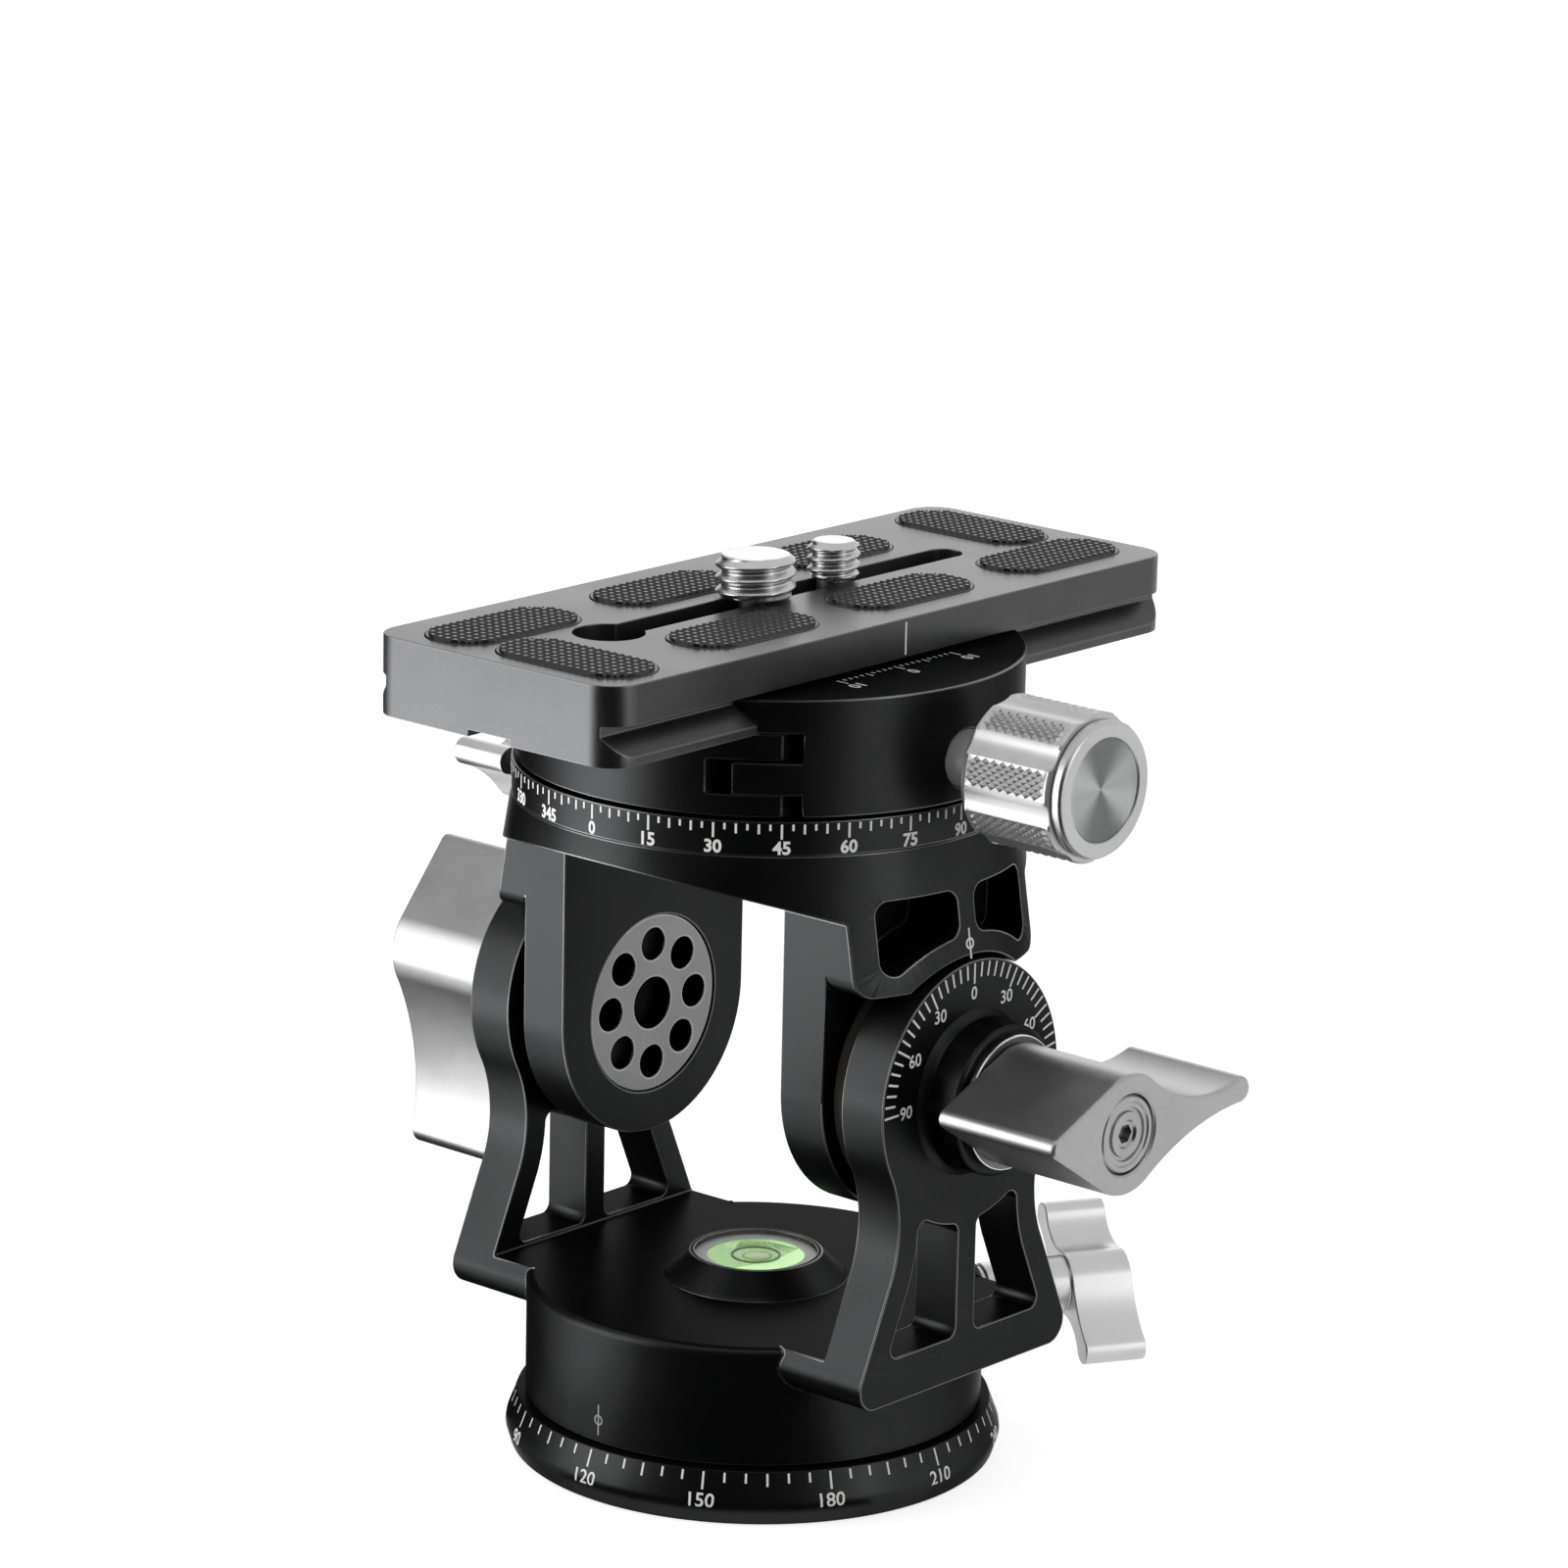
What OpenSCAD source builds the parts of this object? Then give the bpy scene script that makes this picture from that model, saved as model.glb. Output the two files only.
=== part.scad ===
// Two-way pan tilt head with a quick release clamp, in millimetres, +Z up.
// The origin is the middle of the underside, the tilt axis runs along X,
// the lock lever is on the +X side and the friction lever on the -X side.

/* [Base] */
// Largest radius of the base dial
base_r = 29.85; // [29:0.05:34]
// Radius of the base dial at its upper edge
base_top_r = 28.5; // [27:0.1:29]
// Radius of the base dial at the floor
base_foot_r = 29.2; // [27:0.1:29.4]
// Height of the base dial
base_h = 6.5; // [5.5:0.1:9]
// Height of the widest line of the base dial
base_bulge = 2.5; // [1.5:0.1:4]
// Radius of the disc in the underside
disc_r = 20; // [18.5:0.1:22]
// Thickness of that disc
disc_t = 4; // [3.4:0.1:4.8]
// Outer radius of the threaded bush
bush_r = 7.5; // [6.5:0.1:8.5]
// Length of the threaded bush
bush_h = 9; // [7:0.1:9.8]
// Radius of the tripod thread
tripod_r = 4.7625; // [3:0.0125:5]
// Radius of the circle the base screws lie on
base_screw_ring = 13; // [12.4:0.1:13.2]
// Radius of a base screw's head
base_screw_head = 2.6; // [2.2:0.1:2.8]
// Radius of a base screw's shank
base_screw_r = 1.5; // [1:0.1:1.8]
// Height of a base screw head's seat over the floor
base_screw_seat = 3; // [2.4:0.1:3.2]
// Depth of a base screw's end in the spindle
base_screw_grip = 4; // [2.5:0.1:5]

/* [Yoke] */
// Radius of the round housing
housing_r = 27.5; // [26:0.1:28.4]
// Height of the round housing
housing_h = 14.4; // [13.4:0.1:18]
// Rounding of the housing's upper rim
housing_edge = 1; // [0.4:0.1:2]
// Height of the tilt axis over the housing
axis_rise = 30.1; // [28:0.1:40]
// Radius of the dial discs on the arms
dial_r = 15.8; // [15:0.1:17.2]
// Half width of an arm at its waist
waist_half = 12.4; // [11:0.1:13]
// Height of the waist under the tilt axis
waist_drop = 14.2; // [13:0.1:16]
// Half width of an arm's foot
foot_half = 18.6; // [17:0.1:20]
// Rounding of a foot's lower corners
foot_round = 2.8; // [1.5:0.1:4]
// Depth of a foot under the housing's top
foot_h = 5; // [3:0.1:8]
// Thickness of an arm
arm_t = 6.3; // [5:0.1:8]
// Width of the web between an arm's windows
window_web = 3.4; // [2.4:0.1:5]
// Width of the rim outside a window
window_rim = 3.5; // [2.6:0.1:4.5]
// Height of a window's lower edge over the housing
window_sill = 0.5; // [0.3:0.1:2]
// Rounding of a window's corners
window_round = 1.2; // [0.6:0.1:1.6]

/* [Pan bearing] */
// Radius of the base spindle's neck
neck_r = 15.6; // [15.4:0.1:16.4]
// Width of the spindle's flange beyond its neck
flange_w = 1.6; // [1:0.1:2.4]
// Height of the spindle's flange
flange_h = 8; // [7.2:0.1:8.4]
// Thickness of the retaining ring under the flange
retainer_t = 2.1; // [1.5:0.1:2.6]
// Width of the retaining ring
retainer_w = 6.4; // [4.5:0.1:8]

/* [Bubble level] */
// Radius of the boss at the housing
cup_r = 11.2; // [10:0.1:13]
// Radius of the boss at its top
cup_top_r = 8.3; // [7.8:0.1:9.4]
// Height of the boss
cup_h = 2.9; // [2.2:0.1:4]
// Radius of the vial
vial_r = 7.4; // [6:0.1:7.6]
// Thickness of the clear lens
lens_t = 0.7; // [0.4:0.1:1]

/* [Base pan lock] */
// Direction of the base lock around the axis
base_lock_turn = 60; // [50:1:75]
// Height of the base lock under the housing's top
base_lock_drop = 5; // [4.6:0.1:6.6]
// Radius of the lock's stud
base_stud_r = 3; // [2:0.1:3.4]
// Free length of the lever's neck outside the housing
base_lock_reach = 12.1; // [9:0.1:16]
// Gap between the housing and the lever's foot
base_stem_gap = 1.5; // [0.5:0.1:3]

/* [Winged levers] */
// Radius of a winged lever's hub
wing_hub = 3.9; // [3.7:0.1:5]
// Distance of a wing's tip from the hub
wing_len = 9.4; // [8:0.1:9.6]
// Sideways shift of a wing's tip
wing_shift = 2.2; // [0:0.1:3]
// Radius of a wing's tip
wing_tip = 1.7; // [1.2:0.1:2]
// Width of a wing along the stud
wing_w = 7.8; // [5:0.1:9]
// Radius of the hollow side of a wing
wing_hollow = 5; // [4:0.1:7]
// Radius of the flatter side of a wing
wing_flat = 14; // [11:0.5:18]
// Radius of the foot under a winged lever
wing_stem = 3.4; // [2.6:0.1:3.6]
// Cover of a winged lever over its stud's end
wing_cover = 2; // [1.2:0.1:3]

/* [Tilt bracket] */
// Half of the free space between the inner arms
inner_x = 17.2; // [15.6:0.1:18]
// Thickness of an inner arm
inner_t = 6.5; // [5.6:0.1:8]
// Half width of an inner arm
bracket_half = 16; // [14.6:0.1:16.4]
// Height of the ceiling between the arms over the tilt axis
ceiling_rise = 22; // [21:0.1:26]
// Thickness of the deck over the ceiling
deck_t = 8; // [7.4:0.1:10]
// Radius of the deck at its top
deck_r = 30; // [29.9:0.1:31.5]
// Growth of the deck's radius over one millimetre downwards
deck_flare = 0.15; // [0.1:0.01:0.2]
// Height of the eaves over the ceiling at the front and the back
eave_rise = 5; // [4:0.1:6]
// Height of the skirts' lower edge over the tilt axis
skirt_rise = 13.3; // [12.6:0.1:14]
// Rounding of the skirts' lower corners
skirt_round = 2.2; // [1:0.1:2.6]
// Gap between a skirt and the dial disc under it
skirt_gap = 0.5; // [0.4:0.05:1]
// Width of the rim between a skirt's lower arc and its pockets
pocket_rim = 2.6; // [2:0.1:3]
// Half width of the web between the pockets
pocket_web = 1.5; // [1:0.1:2.4]
// Half width over both pockets
pocket_half = 12.8; // [11.5:0.1:13.4]
// Height of the pockets' upper edge over the tilt axis
pocket_top = 24.2; // [22.6:0.1:24.6]
// Rounding of the pockets' corners
pocket_round = 1.7; // [0.8:0.1:2]

/* [Tilt pivots] */
// Radius of the tilt axles
axle_r = 4.9; // [4.4:0.05:5.2]
// Radius of the lock and friction studs
stud_r = 3; // [2.5:0.05:3.05]
// Gap between an inner arm and the yoke's arm
brake_gap = 2.7; // [2.2:0.1:3.6]
// Radius of the brake discs
brake_r = 14; // [11:0.1:14.4]
// Thickness of a brake disc
brake_t = 1.2; // [0.8:0.1:1.4]
// Radius of the round inserts
spider_r = 11; // [10.4:0.1:12]
// Thickness of the round inserts
spider_t = 1.4; // [1:0.1:2]
// Radius of the middle hole of an insert
spider_bore = 3.15; // [3.1:0.05:3.6]
// Radius of the small holes of an insert
spider_hole = 1.95; // [1.4:0.05:2]
// Number of small holes in an insert
spider_holes = 8; // [4:1:8]
// Radius of the circle the small holes lie on
spider_ring = 7.4; // [7:0.1:7.8]
// Depth of the hollow behind an insert
spider_hollow = 3; // [1.5:0.1:3.2]

/* [Big levers] */
// Radius of the collar on an arm
collar_r = 9; // [8:0.1:10.4]
// Length of the collar
collar_l = 5.2; // [3:0.1:8]
// Extra radius of the collar's flared root
collar_flare = 1; // [0.4:0.1:1.6]
// Radius of the thin ring on the collar
ring_r = 8; // [7:0.1:9]
// Thickness of the thin ring
ring_t = 0.9; // [0.5:0.1:1.6]
// Width of a lever along the tilt axis
lever_w = 17.2; // [12:0.1:22]
// Radius of a lever around its stud
lever_hub = 7.2; // [6.4:0.1:8]
// Distance of a lever's nose from the tilt axis
lever_nose = 12.4; // [11:0.1:14]
// Sideways shift of the nose
lever_nose_shift = 1.1; // [0:0.1:2]
// Rounding of the nose
lever_nose_r = 1.3; // [0.8:0.1:2]
// Distance of the lock lever's tail end from the tilt axis
lock_tail = 21; // [18:0.1:23]
// Distance of the friction lever's tail end from the tilt axis
drag_tail = 23.9; // [18:0.1:24.5]
// Turn of the friction lever's tail from straight down towards -Y
drag_lean = 6; // [0:1:10]
// How much nearer to its arm the friction lever sits
drag_in = 1.5; // [0:0.1:2]
// Sideways shift of a tail
lever_tail_shift = 0.7; // [0:0.1:2]
// Rounding of a tail's end
lever_tail_r = 1.6; // [1.2:0.1:2.4]
// Radius of the hollow side of a lever
lever_hollow = 18; // [14:0.5:30]
// Radius of the flatter side of a lever
lever_flat = 34; // [26:1:60]
// Radius of a lever's end cap
cap_r = 4.6; // [3.6:0.1:5.4]
// Thickness of a lever's end cap
cap_t = 1.5; // [1.2:0.1:2.4]
// Depth of a cap's face in its lever
cap_sink = 0.3; // [0.1:0.05:0.6]
// Radius of the hex socket in a cap
cap_socket = 1.2; // [0.8:0.05:1.6]

/* [Top pan] */
// Height of the pan scale ring
scale_h = 4.1; // [3:0.1:6]
// Width of the pan scale ring
scale_w = 6; // [4:0.1:7]
// Radius of the clamp's spindle
spindle_r = 10; // [9:0.1:11]
// Radius of the washer under the spindle
spindle_washer = 12.4; // [11.6:0.1:14]
// Thickness of that washer
spindle_washer_t = 1.5; // [1:0.1:1.8]
// Height of the spindle's lower end over the ceiling
spindle_sink = 3.5; // [3.3:0.1:4]
// Radius of the spindle screw's head
spindle_head = 5; // [4:0.1:6]
// Radius of the spindle screw
spindle_screw_r = 3; // [2.5:0.1:3.5]
// Radius of the hex socket in that screw
spindle_socket = 2; // [1.4:0.1:2.4]
// Distance of the bearing washer's rim from the deck's boss rim
bearing_rim = 2; // [1:0.1:4]
// Distance of the bearing washer's bore from the spindle
bearing_bore = 1; // [0.5:0.1:3]
// Height of the top pan lock over the ceiling
pan_lock_rise = 3.4; // [3.3:0.1:4.2]
// Radius of the top pan lock's stud
pan_stud_r = 2.5; // [1.8:0.1:2.6]
// Free length of the top pan lock's neck outside the deck
pan_lock_reach = 3; // [2.6:0.1:6]
// Gap between the deck and that lever's foot
pan_stem_gap = 1.8; // [1.5:0.1:2.2]
// Turn of the top pan lock's wings against the horizontal
pan_lock_turn = 188; // [180:1:200]
// Turn of the base pan lock's wings against the horizontal
base_wing_turn = 27; // [0:1:90]

/* [Clamp] */
// Radius of the clamp
clamp_r = 29.5; // [29:0.1:30]
// Height of the plate's seat over the clamp's underside
clamp_h = 9.8; // [9.2:0.1:14]
// Height of the jaws over the seat
lip_h = 4.1; // [3.9:0.05:4.4]
// Offset of the movable jaw in its resting place
jaw_shift = 1; // [0.5:0.1:2]
// Distance of the fixed jaw's end from the axis
split_x = 20.8; // [20:0.1:21.5]
// Gap between the fixed jaw's end and the movable jaw
split_gap = 2.1; // [1.2:0.1:2.6]
// Length of the movable jaw's tongue
tongue_l = 6.2; // [4:0.1:8]
// Gap in front of the tongue
tongue_gap = 3; // [1.5:0.1:4]
// Thickness of the tongue
tongue_t = 3.8; // [3.2:0.1:4.6]
// Height of the tongue's middle over the clamp's underside
tongue_z = 4.65; // [4.2:0.05:5]
// Radius of the jaw's guide pins
guide_r = 1.2; // [0.8:0.05:1.4]
// Distance of a guide pin from the middle
guide_y = 12; // [9:0.1:13]

/* [Clamp knob] */
// Radius of the clamp knob
knob_r = 8.75; // [7:0.05:9]
// Length of the clamp knob
knob_l = 14.6; // [12:0.1:20]
// Free length of the screw between jaw and knob
knob_reach = 5.8; // [3:0.1:8]
// Height of the knob's axis over the clamp's underside
knob_z = 5.1; // [4.6:0.1:5.6]
// Radius of the screw where it passes the jaw
screw_r = 3.4; // [2.8:0.1:3.6]
// Radius of the screw's thread in the fixed jaw
screw_tip_r = 2.5; // [1.8:0.1:2.6]
// Radius of the spun disc in the knob's end
spun_r = 6; // [5:0.1:6.4]
// Depth of the flutes in the knob's grip
flute_d = 0.45; // [0.2:0.05:0.6]
// Number of flutes in the knob's grip
flutes = 8; // [5:1:8]
// Length of the flange at the knob's end
knob_flange = 1.5; // [1:0.1:2.4]

/* [Plate] */
// Half width of the plate
plate_half = 19; // [19:0.05:19.3]
// Length of the plate
plate_l = 99.2; // [96:0.1:140]
// Thickness of the plate
plate_t = 9.4; // [8.8:0.1:12]
// Rounding of the plate's corners
plate_round = 4; // [2:0.1:5]
// Place of the plate along the clamp
plate_y = 2.4; // [-4:0.1:4]
// Height of the plate's lower flange at its edge
flange_edge = 1.1; // [0.8:0.05:1.4]
// Depth of the plate's side grooves
groove_d = 2.4; // [2:0.05:2.6]
// Height of the grooves' upper edge over the seat
groove_top = 4.7; // [4.6:0.05:5.2]
// Width of the keyway in the underside
keyway_w = 6.5; // [4:0.1:8]
// Depth of the keyway
keyway_d = 0.8; // [0.4:0.1:1.2]
// Width of the slot
slot_w = 4.4; // [4.3:0.1:5.4]
// Place of the slot's blind end along the plate
slot_end = 31.6; // [28:0.1:33]
// Place of the keyhole along the plate
keyhole_y = -30; // [-31:0.1:-28]
// Radius of the keyhole
keyhole_r = 4.2; // [3.6:0.1:4.6]
// Width of the wide channel under the slot
channel_w = 14.4; // [13.6:0.1:16]
// Depth of the wide channel
channel_d = 4.8; // [4.2:0.1:5.4]

/* [Pads] */
// Length of a rubber pad
pad_l = 21.4; // [16:0.1:22]
// Width of a rubber pad
pad_w = 10.2; // [8:0.1:10.4]
// Height of a pad over the plate
pad_lift = 0.5; // [0.2:0.05:0.8]
// Depth of a pad's seat in the plate
pad_seat = 0.7; // [0.3:0.05:1]
// Distance of the pad rows from the middle
pad_row = 10.1; // [9.6:0.1:11]
// Distance of the outermost long pads' middle from the plate's end
pad_outer_in = 12.8; // [12.6:0.1:13.6]
// Place of the innermost long pads along the plate
pad_inner = 9.4; // [7:0.1:10]
// Place of the remaining long pads along the plate
pad_middle = 18.4; // [17:0.1:20]
// Distance of the end pads' middle from the plate's end
pad_end_in = 7.4; // [6.6:0.1:7.4]
// Sideways shift of these end pads
pad_end_x = 6.4; // [6.2:0.1:7]

/* [Camera screws] */
// Radius of the large camera screw
large_r = 4.7625; // [4:0.0125:5]
// Radius of the small camera screw
small_r = 3.175; // [2.5:0.0125:3.5]
// Height of the large screw over the plate
large_h = 5.3; // [4:0.1:8]
// Height of the small screw over the plate
small_h = 4.8; // [4:0.1:8]
// Depth of the relief under a camera screw's thread
screw_relief = 0.5; // [0.2:0.05:0.8]
// Radius of a camera screw's neck
screw_neck = 2; // [1.6:0.05:2.1]
// Radius of a camera screw's head
screw_head = 6.3; // [5:0.1:6.5]
// Thickness of a camera screw's head
screw_head_t = 2.4; // [1.6:0.1:3]
// Place of the large screw along the plate
large_y = -4.9; // [-12:0.1:-3]
// Place of the small screw along the plate
small_y = 9; // [9:0.1:18]

/* [Fits] */
// Gap between parts that turn past each other
seam = 0.3; // [0.3:0.05:0.6]
// Radial gap of a running fit
run_fit = 0.05; // [0.02:0.01:0.09]
// Gap of the plate in the jaws
jaw_fit = 0.08; // [0.04:0.01:0.12]

/* [Hidden] */
$fn = 96;
eps = 0.01;
far = 80;
// Overlap of round stretches that run into each other
blend = 0.02;
// Heights, from the floor upwards
seam_z = base_h + seam;
roof_z = seam_z + housing_h;
neck_top = seam_z + retainer_t + seam;
flange_top = neck_top + flange_h;
flange_r = neck_r + flange_w;
retainer_r = neck_r + run_fit;
spigot_r = disc_r - 3.5;
axis_z = roof_z + axis_rise;
ceiling_z = axis_z + ceiling_rise;
deck_z = ceiling_z + deck_t;
scale_z = deck_z + scale_h;
spindle_low = ceiling_z + spindle_sink;
washer_low = spindle_low - spindle_washer_t;
boss_z = scale_z - 0.5;
clamp_z = scale_z + seam;
seat_z = clamp_z + clamp_h;
lip_z = seat_z + lip_h;
plate_z = seat_z + plate_t;
web_z = seat_z + channel_d;
pad_z = plate_z + pad_lift;
thread_z = pad_z + 0.1;
base_lock_z = roof_z - base_lock_drop;
pan_lock_z = ceiling_z + pan_lock_rise;
knob_axis_z = clamp_z + knob_z;
tongue_low = clamp_z + tongue_z - tongue_t / 2;
tongue_high = tongue_low + tongue_t;
// Distances from the middle plane along the tilt axis
inner_out = inner_x + inner_t;
arm_in = inner_out + brake_gap;
arm_out = arm_in + arm_t;
collar_x = arm_out + collar_l;
ring_x = collar_x + 0.1;
lever_x = ring_x + ring_t;
lever_end = lever_x + lever_w;
cap_x = lever_end - cap_t - cap_sink;
axle_end = arm_out - 0.4;
stud_tip = inner_x + spider_t + 0.8;
// Brake shoes of the pan locks
shoe_l = 2.4;
base_shoe_x = flange_r + seam;
pan_shoe_x = spindle_washer + seam;
// Distances along the clamp screw
jaw_in = split_x + split_gap;
tongue_in = jaw_in - tongue_l;
jaw_face = clamp_r + jaw_shift;
lip_x = plate_half - groove_d + 0.3;
guide_in = 4;
knob_x = jaw_face + knob_reach;
knob_end = knob_x + knob_l;
// Outline of an arm: the waist circle touches the dial disc
waist_r = (pow(waist_half, 2) + pow(waist_drop, 2) - pow(dial_r, 2)) / (2 * (dial_r - waist_half));
waist_c = [waist_half + waist_r, axis_z - waist_drop];
foot_z = roof_z - foot_h;
foot_c = [foot_half - foot_round, foot_z + foot_round];
foot_to_waist = waist_c - foot_c;
flank_turn = heading(foot_to_waist) - acos((foot_round + waist_r) / norm(foot_to_waist));
flank_n = [cos(flank_turn), sin(flank_turn)];
flank_low = foot_c + foot_round * flank_n;
flank_high = waist_c - waist_r * flank_n;
sill_z = roof_z + window_sill;
window_high = flank_high - window_rim * flank_n;
window_low = window_high[0] - (sill_z - window_high[1]) / flank_n[0] * flank_n[1];
skirt_r = dial_r + skirt_gap;
skirt_z = axis_z + skirt_rise;
boss_r = deck_r - scale_w;
// Places along the plate, from its middle
pad_outer = plate_l / 2 - pad_outer_in;
pad_end_y = plate_l / 2 - pad_end_in;

function heading(p) = atan2(p[1], p[0]);
function ray(a) = [cos(a), sin(a)];

// Middle of a circle that touches two circles from outside, left (1) or right (-1) of their line
function touching(c1, r1, c2, r2, r, side) =
    let (d = norm(c2 - c1), u = (c2 - c1) / d)
    let (a = (d * d + pow(r1 + r, 2) - pow(r2 + r, 2)) / (2 * d))
    c1 + a * u + side * sqrt(pow(r1 + r, 2) - a * a) * [-u[1], u[0]];

// Two circles joined by a body with hollow sides
module limb(c1, r1, c2, r2, left, right) {
    a = touching(c1, r1, c2, r2, left, 1);
    b = touching(c1, r1, c2, r2, right, -1);
    translate(c1) circle(r1);
    translate(c2) circle(r2);
    difference() {
        polygon([c1, b, c2, a]);
        translate(a) circle(left + blend);
        translate(b) circle(right + blend);
    }
}

// Two circles joined by straight tangents
module taper(c1, r1, c2, r2) {
    d = c2 - c1;
    up = heading(d) + acos((r1 - r2) / norm(d));
    down = heading(d) - acos((r1 - r2) / norm(d));
    s1 = r1 - blend;
    s2 = r2 - blend;
    translate(c1) circle(r1);
    translate(c2) circle(r2);
    polygon([c1 + s1 * ray(up), c1 + s1 * ray(down), c2 + s2 * ray(down), c2 + s2 * ray(up)]);
}

// Pill with its length along X
module pill(l, w) {
    square([l - w, w], center = true);
    translate([(l - w) / 2, 0]) circle(w / 2);
    translate([(w - l) / 2, 0]) circle(w / 2);
}

// Rectangle with round corners, centred
module round_rect(l, w, r) {
    square([l, w - 2 * r], center = true);
    square([l - 2 * r, w], center = true);
    for (x = [-1, 1], y = [-1, 1]) {
        translate([x * (l / 2 - r), y * (w / 2 - r)]) circle(r);
    }
}

// Extrusion of a drawing in Y and Z along X, from x0 to x1
module along_x(x0, x1) {
    translate([x0, 0, 0]) rotate([90, 0, 90]) linear_extrude(x1 - x0) children();
}

// Extrusion of a drawing in X and Z along Y, centred
module along_y(l) {
    translate([0, l / 2, 0]) rotate([90, 0, 0]) linear_extrude(l) children();
}

// Round bar along X
module bar_x(x0, x1, r, y, z) {
    translate([x0, y, z]) rotate([0, 90, 0]) cylinder(h = x1 - x0, r = r);
}

// Round bar along Z
module bar_z(z0, z1, r) {
    translate([0, 0, z0]) cylinder(h = z1 - z0, r = r);
}

// Flat ring along X around the tilt axis
module ring_along_x(x0, x1, r_out, r_in) {
    difference() {
        bar_x(x0, x1, r_out, 0, axis_z);
        bar_x(x0 - 1, x1 + 1, r_in, 0, axis_z);
    }
}

// Flat ring around the vertical axis
module ring_z(z0, z1, r_out, r_in) {
    difference() {
        bar_z(z0, z1, r_out);
        bar_z(z0 - 1, z1 + 1, r_in);
    }
}

// Places of the three base screws
module at_base_screw(i) {
    rotate(30 + 120 * i) translate([base_screw_ring, 0, 0]) children();
}

// Direction of the base lock: X points outwards
module at_base_lock() {
    rotate(base_lock_turn) children();
}

// Direction of the top pan lock: X points outwards, on the -X side
module at_pan_lock() {
    rotate(180) children();
}

module base_dial() {
    color([0.09, 0.09, 0.1]) difference() {
        rotate_extrude() polygon([
            [0, 0], [base_foot_r - 0.5, 0], [base_foot_r, 0.4], [base_r, base_bulge],
            [base_r - 0.1, base_bulge + 0.7], [base_top_r, base_h], [0, base_h]
        ]);
        bar_z(-1, disc_t, disc_r);
        bar_z(-1, base_h + 1, spigot_r);
    }
}

module base_disc() {
    color([0.1, 0.1, 0.11]) difference() {
        union() {
            bar_z(0, disc_t, disc_r - run_fit);
            bar_z(0, base_h, spigot_r - run_fit);
        }
        bar_z(-1, base_h + 1, bush_r);
        for (i = [0:2]) {
            at_base_screw(i) bar_z(-1, base_screw_seat, base_screw_head + 0.4);
            at_base_screw(i) bar_z(-1, base_h + 1, base_screw_r);
        }
    }
}

module thread_bush() {
    color([0.12, 0.12, 0.13]) ring_z(0, bush_h, bush_r, tripod_r);
}

module base_screw(i) {
    color([0.8, 0.8, 0.82]) at_base_screw(i) difference() {
        union() {
            bar_z(0.6, base_screw_seat, base_screw_head);
            bar_z(0.6, base_h + base_screw_grip, base_screw_r);
        }
        bar_z(0, base_screw_seat - 1.1, base_screw_head / 2, $fn = 6);
    }
}

module base_screw_a() {
    base_screw(0);
}

module base_screw_b() {
    base_screw(1);
}

module base_screw_c() {
    base_screw(2);
}

module base_spindle() {
    color([0.55, 0.55, 0.57]) difference() {
        union() {
            bar_z(base_h, neck_top + eps, neck_r);
            bar_z(neck_top, flange_top, flange_r);
        }
        bar_z(base_h - 1, bush_h + 0.4, bush_r + 0.1);
        for (i = [0:2]) {
            at_base_screw(i) bar_z(base_h - 1, base_h + base_screw_grip + 0.5, base_screw_r);
        }
    }
}

// Outline of an arm in Y and Z
module arm_outline() {
    translate([0, axis_z]) circle(dial_r);
    for (s = [0, 1]) mirror([s, 0]) {
        translate(foot_c) circle(foot_round + blend);
        difference() {
            polygon([
                [0, foot_z], [foot_c[0], foot_z], foot_c, flank_low, flank_high, waist_c, [0, axis_z]
            ]);
            translate(waist_c) circle(waist_r + blend);
        }
    }
}

// One window of an arm, on the +Y side
module arm_window() {
    offset(r = window_round) offset(delta = -window_round) difference() {
        polygon([
            [window_web / 2, sill_z], [window_low, sill_z], window_high, waist_c, [window_web / 2, axis_z]
        ]);
        translate(waist_c) circle(waist_r + window_rim);
        translate([0, axis_z]) circle(dial_r + 0.1);
    }
}

module yoke() {
    color([0.09, 0.09, 0.1]) difference() {
        union() {
            translate([0, 0, seam_z]) rotate_extrude() {
                square([housing_r, housing_h - housing_edge]);
                square([housing_r - housing_edge, housing_h]);
                translate([housing_r - housing_edge, housing_h - housing_edge]) circle(housing_edge);
            }
            along_x(-arm_out, arm_out) intersection() {
                arm_outline();
                translate([-far / 2, 0]) square([far, roof_z]);
            }
            for (s = [0, 1]) mirror([s, 0, 0]) along_x(arm_in, arm_out) arm_outline();
        }
        for (s = [0, 1], t = [0, 1]) mirror([s, 0, 0]) mirror([0, t, 0]) {
            along_x(arm_in - 1, arm_out + 1) arm_window();
        }
        bar_z(seam_z - 1, seam_z + retainer_t, neck_r + retainer_w);
        bar_z(seam_z - 1, flange_top + seam, flange_r + seam);
        bar_x(-arm_out - 1, arm_out + 1, axle_r + run_fit, 0, axis_z);
        at_base_lock() bar_x(0, far, base_stud_r + run_fit, 0, base_lock_z);
    }
}

module pan_retainer() {
    color([0.6, 0.6, 0.62]) ring_z(seam_z + 0.1, seam_z + retainer_t, neck_r + retainer_w, retainer_r);
}

module bubble_cup() {
    color([0.08, 0.08, 0.09]) rotate_extrude() polygon([
        [0, roof_z], [cup_r, roof_z], [cup_r - 0.7, roof_z + 0.6], [cup_top_r, roof_z + cup_h - 0.3],
        [cup_top_r - 0.3, roof_z + cup_h], [vial_r, roof_z + cup_h], [vial_r, roof_z + 0.5],
        [0, roof_z + 0.5]
    ]);
}

module bubble_fluid() {
    color([0.5, 0.8, 0.2]) bar_z(roof_z + 0.5, roof_z + cup_h - lens_t, vial_r);
}

module bubble_lens() {
    color([0.85, 0.95, 0.85, 0.4]) bar_z(roof_z + cup_h - lens_t, roof_z + cup_h - 0.1, vial_r);
}

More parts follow.
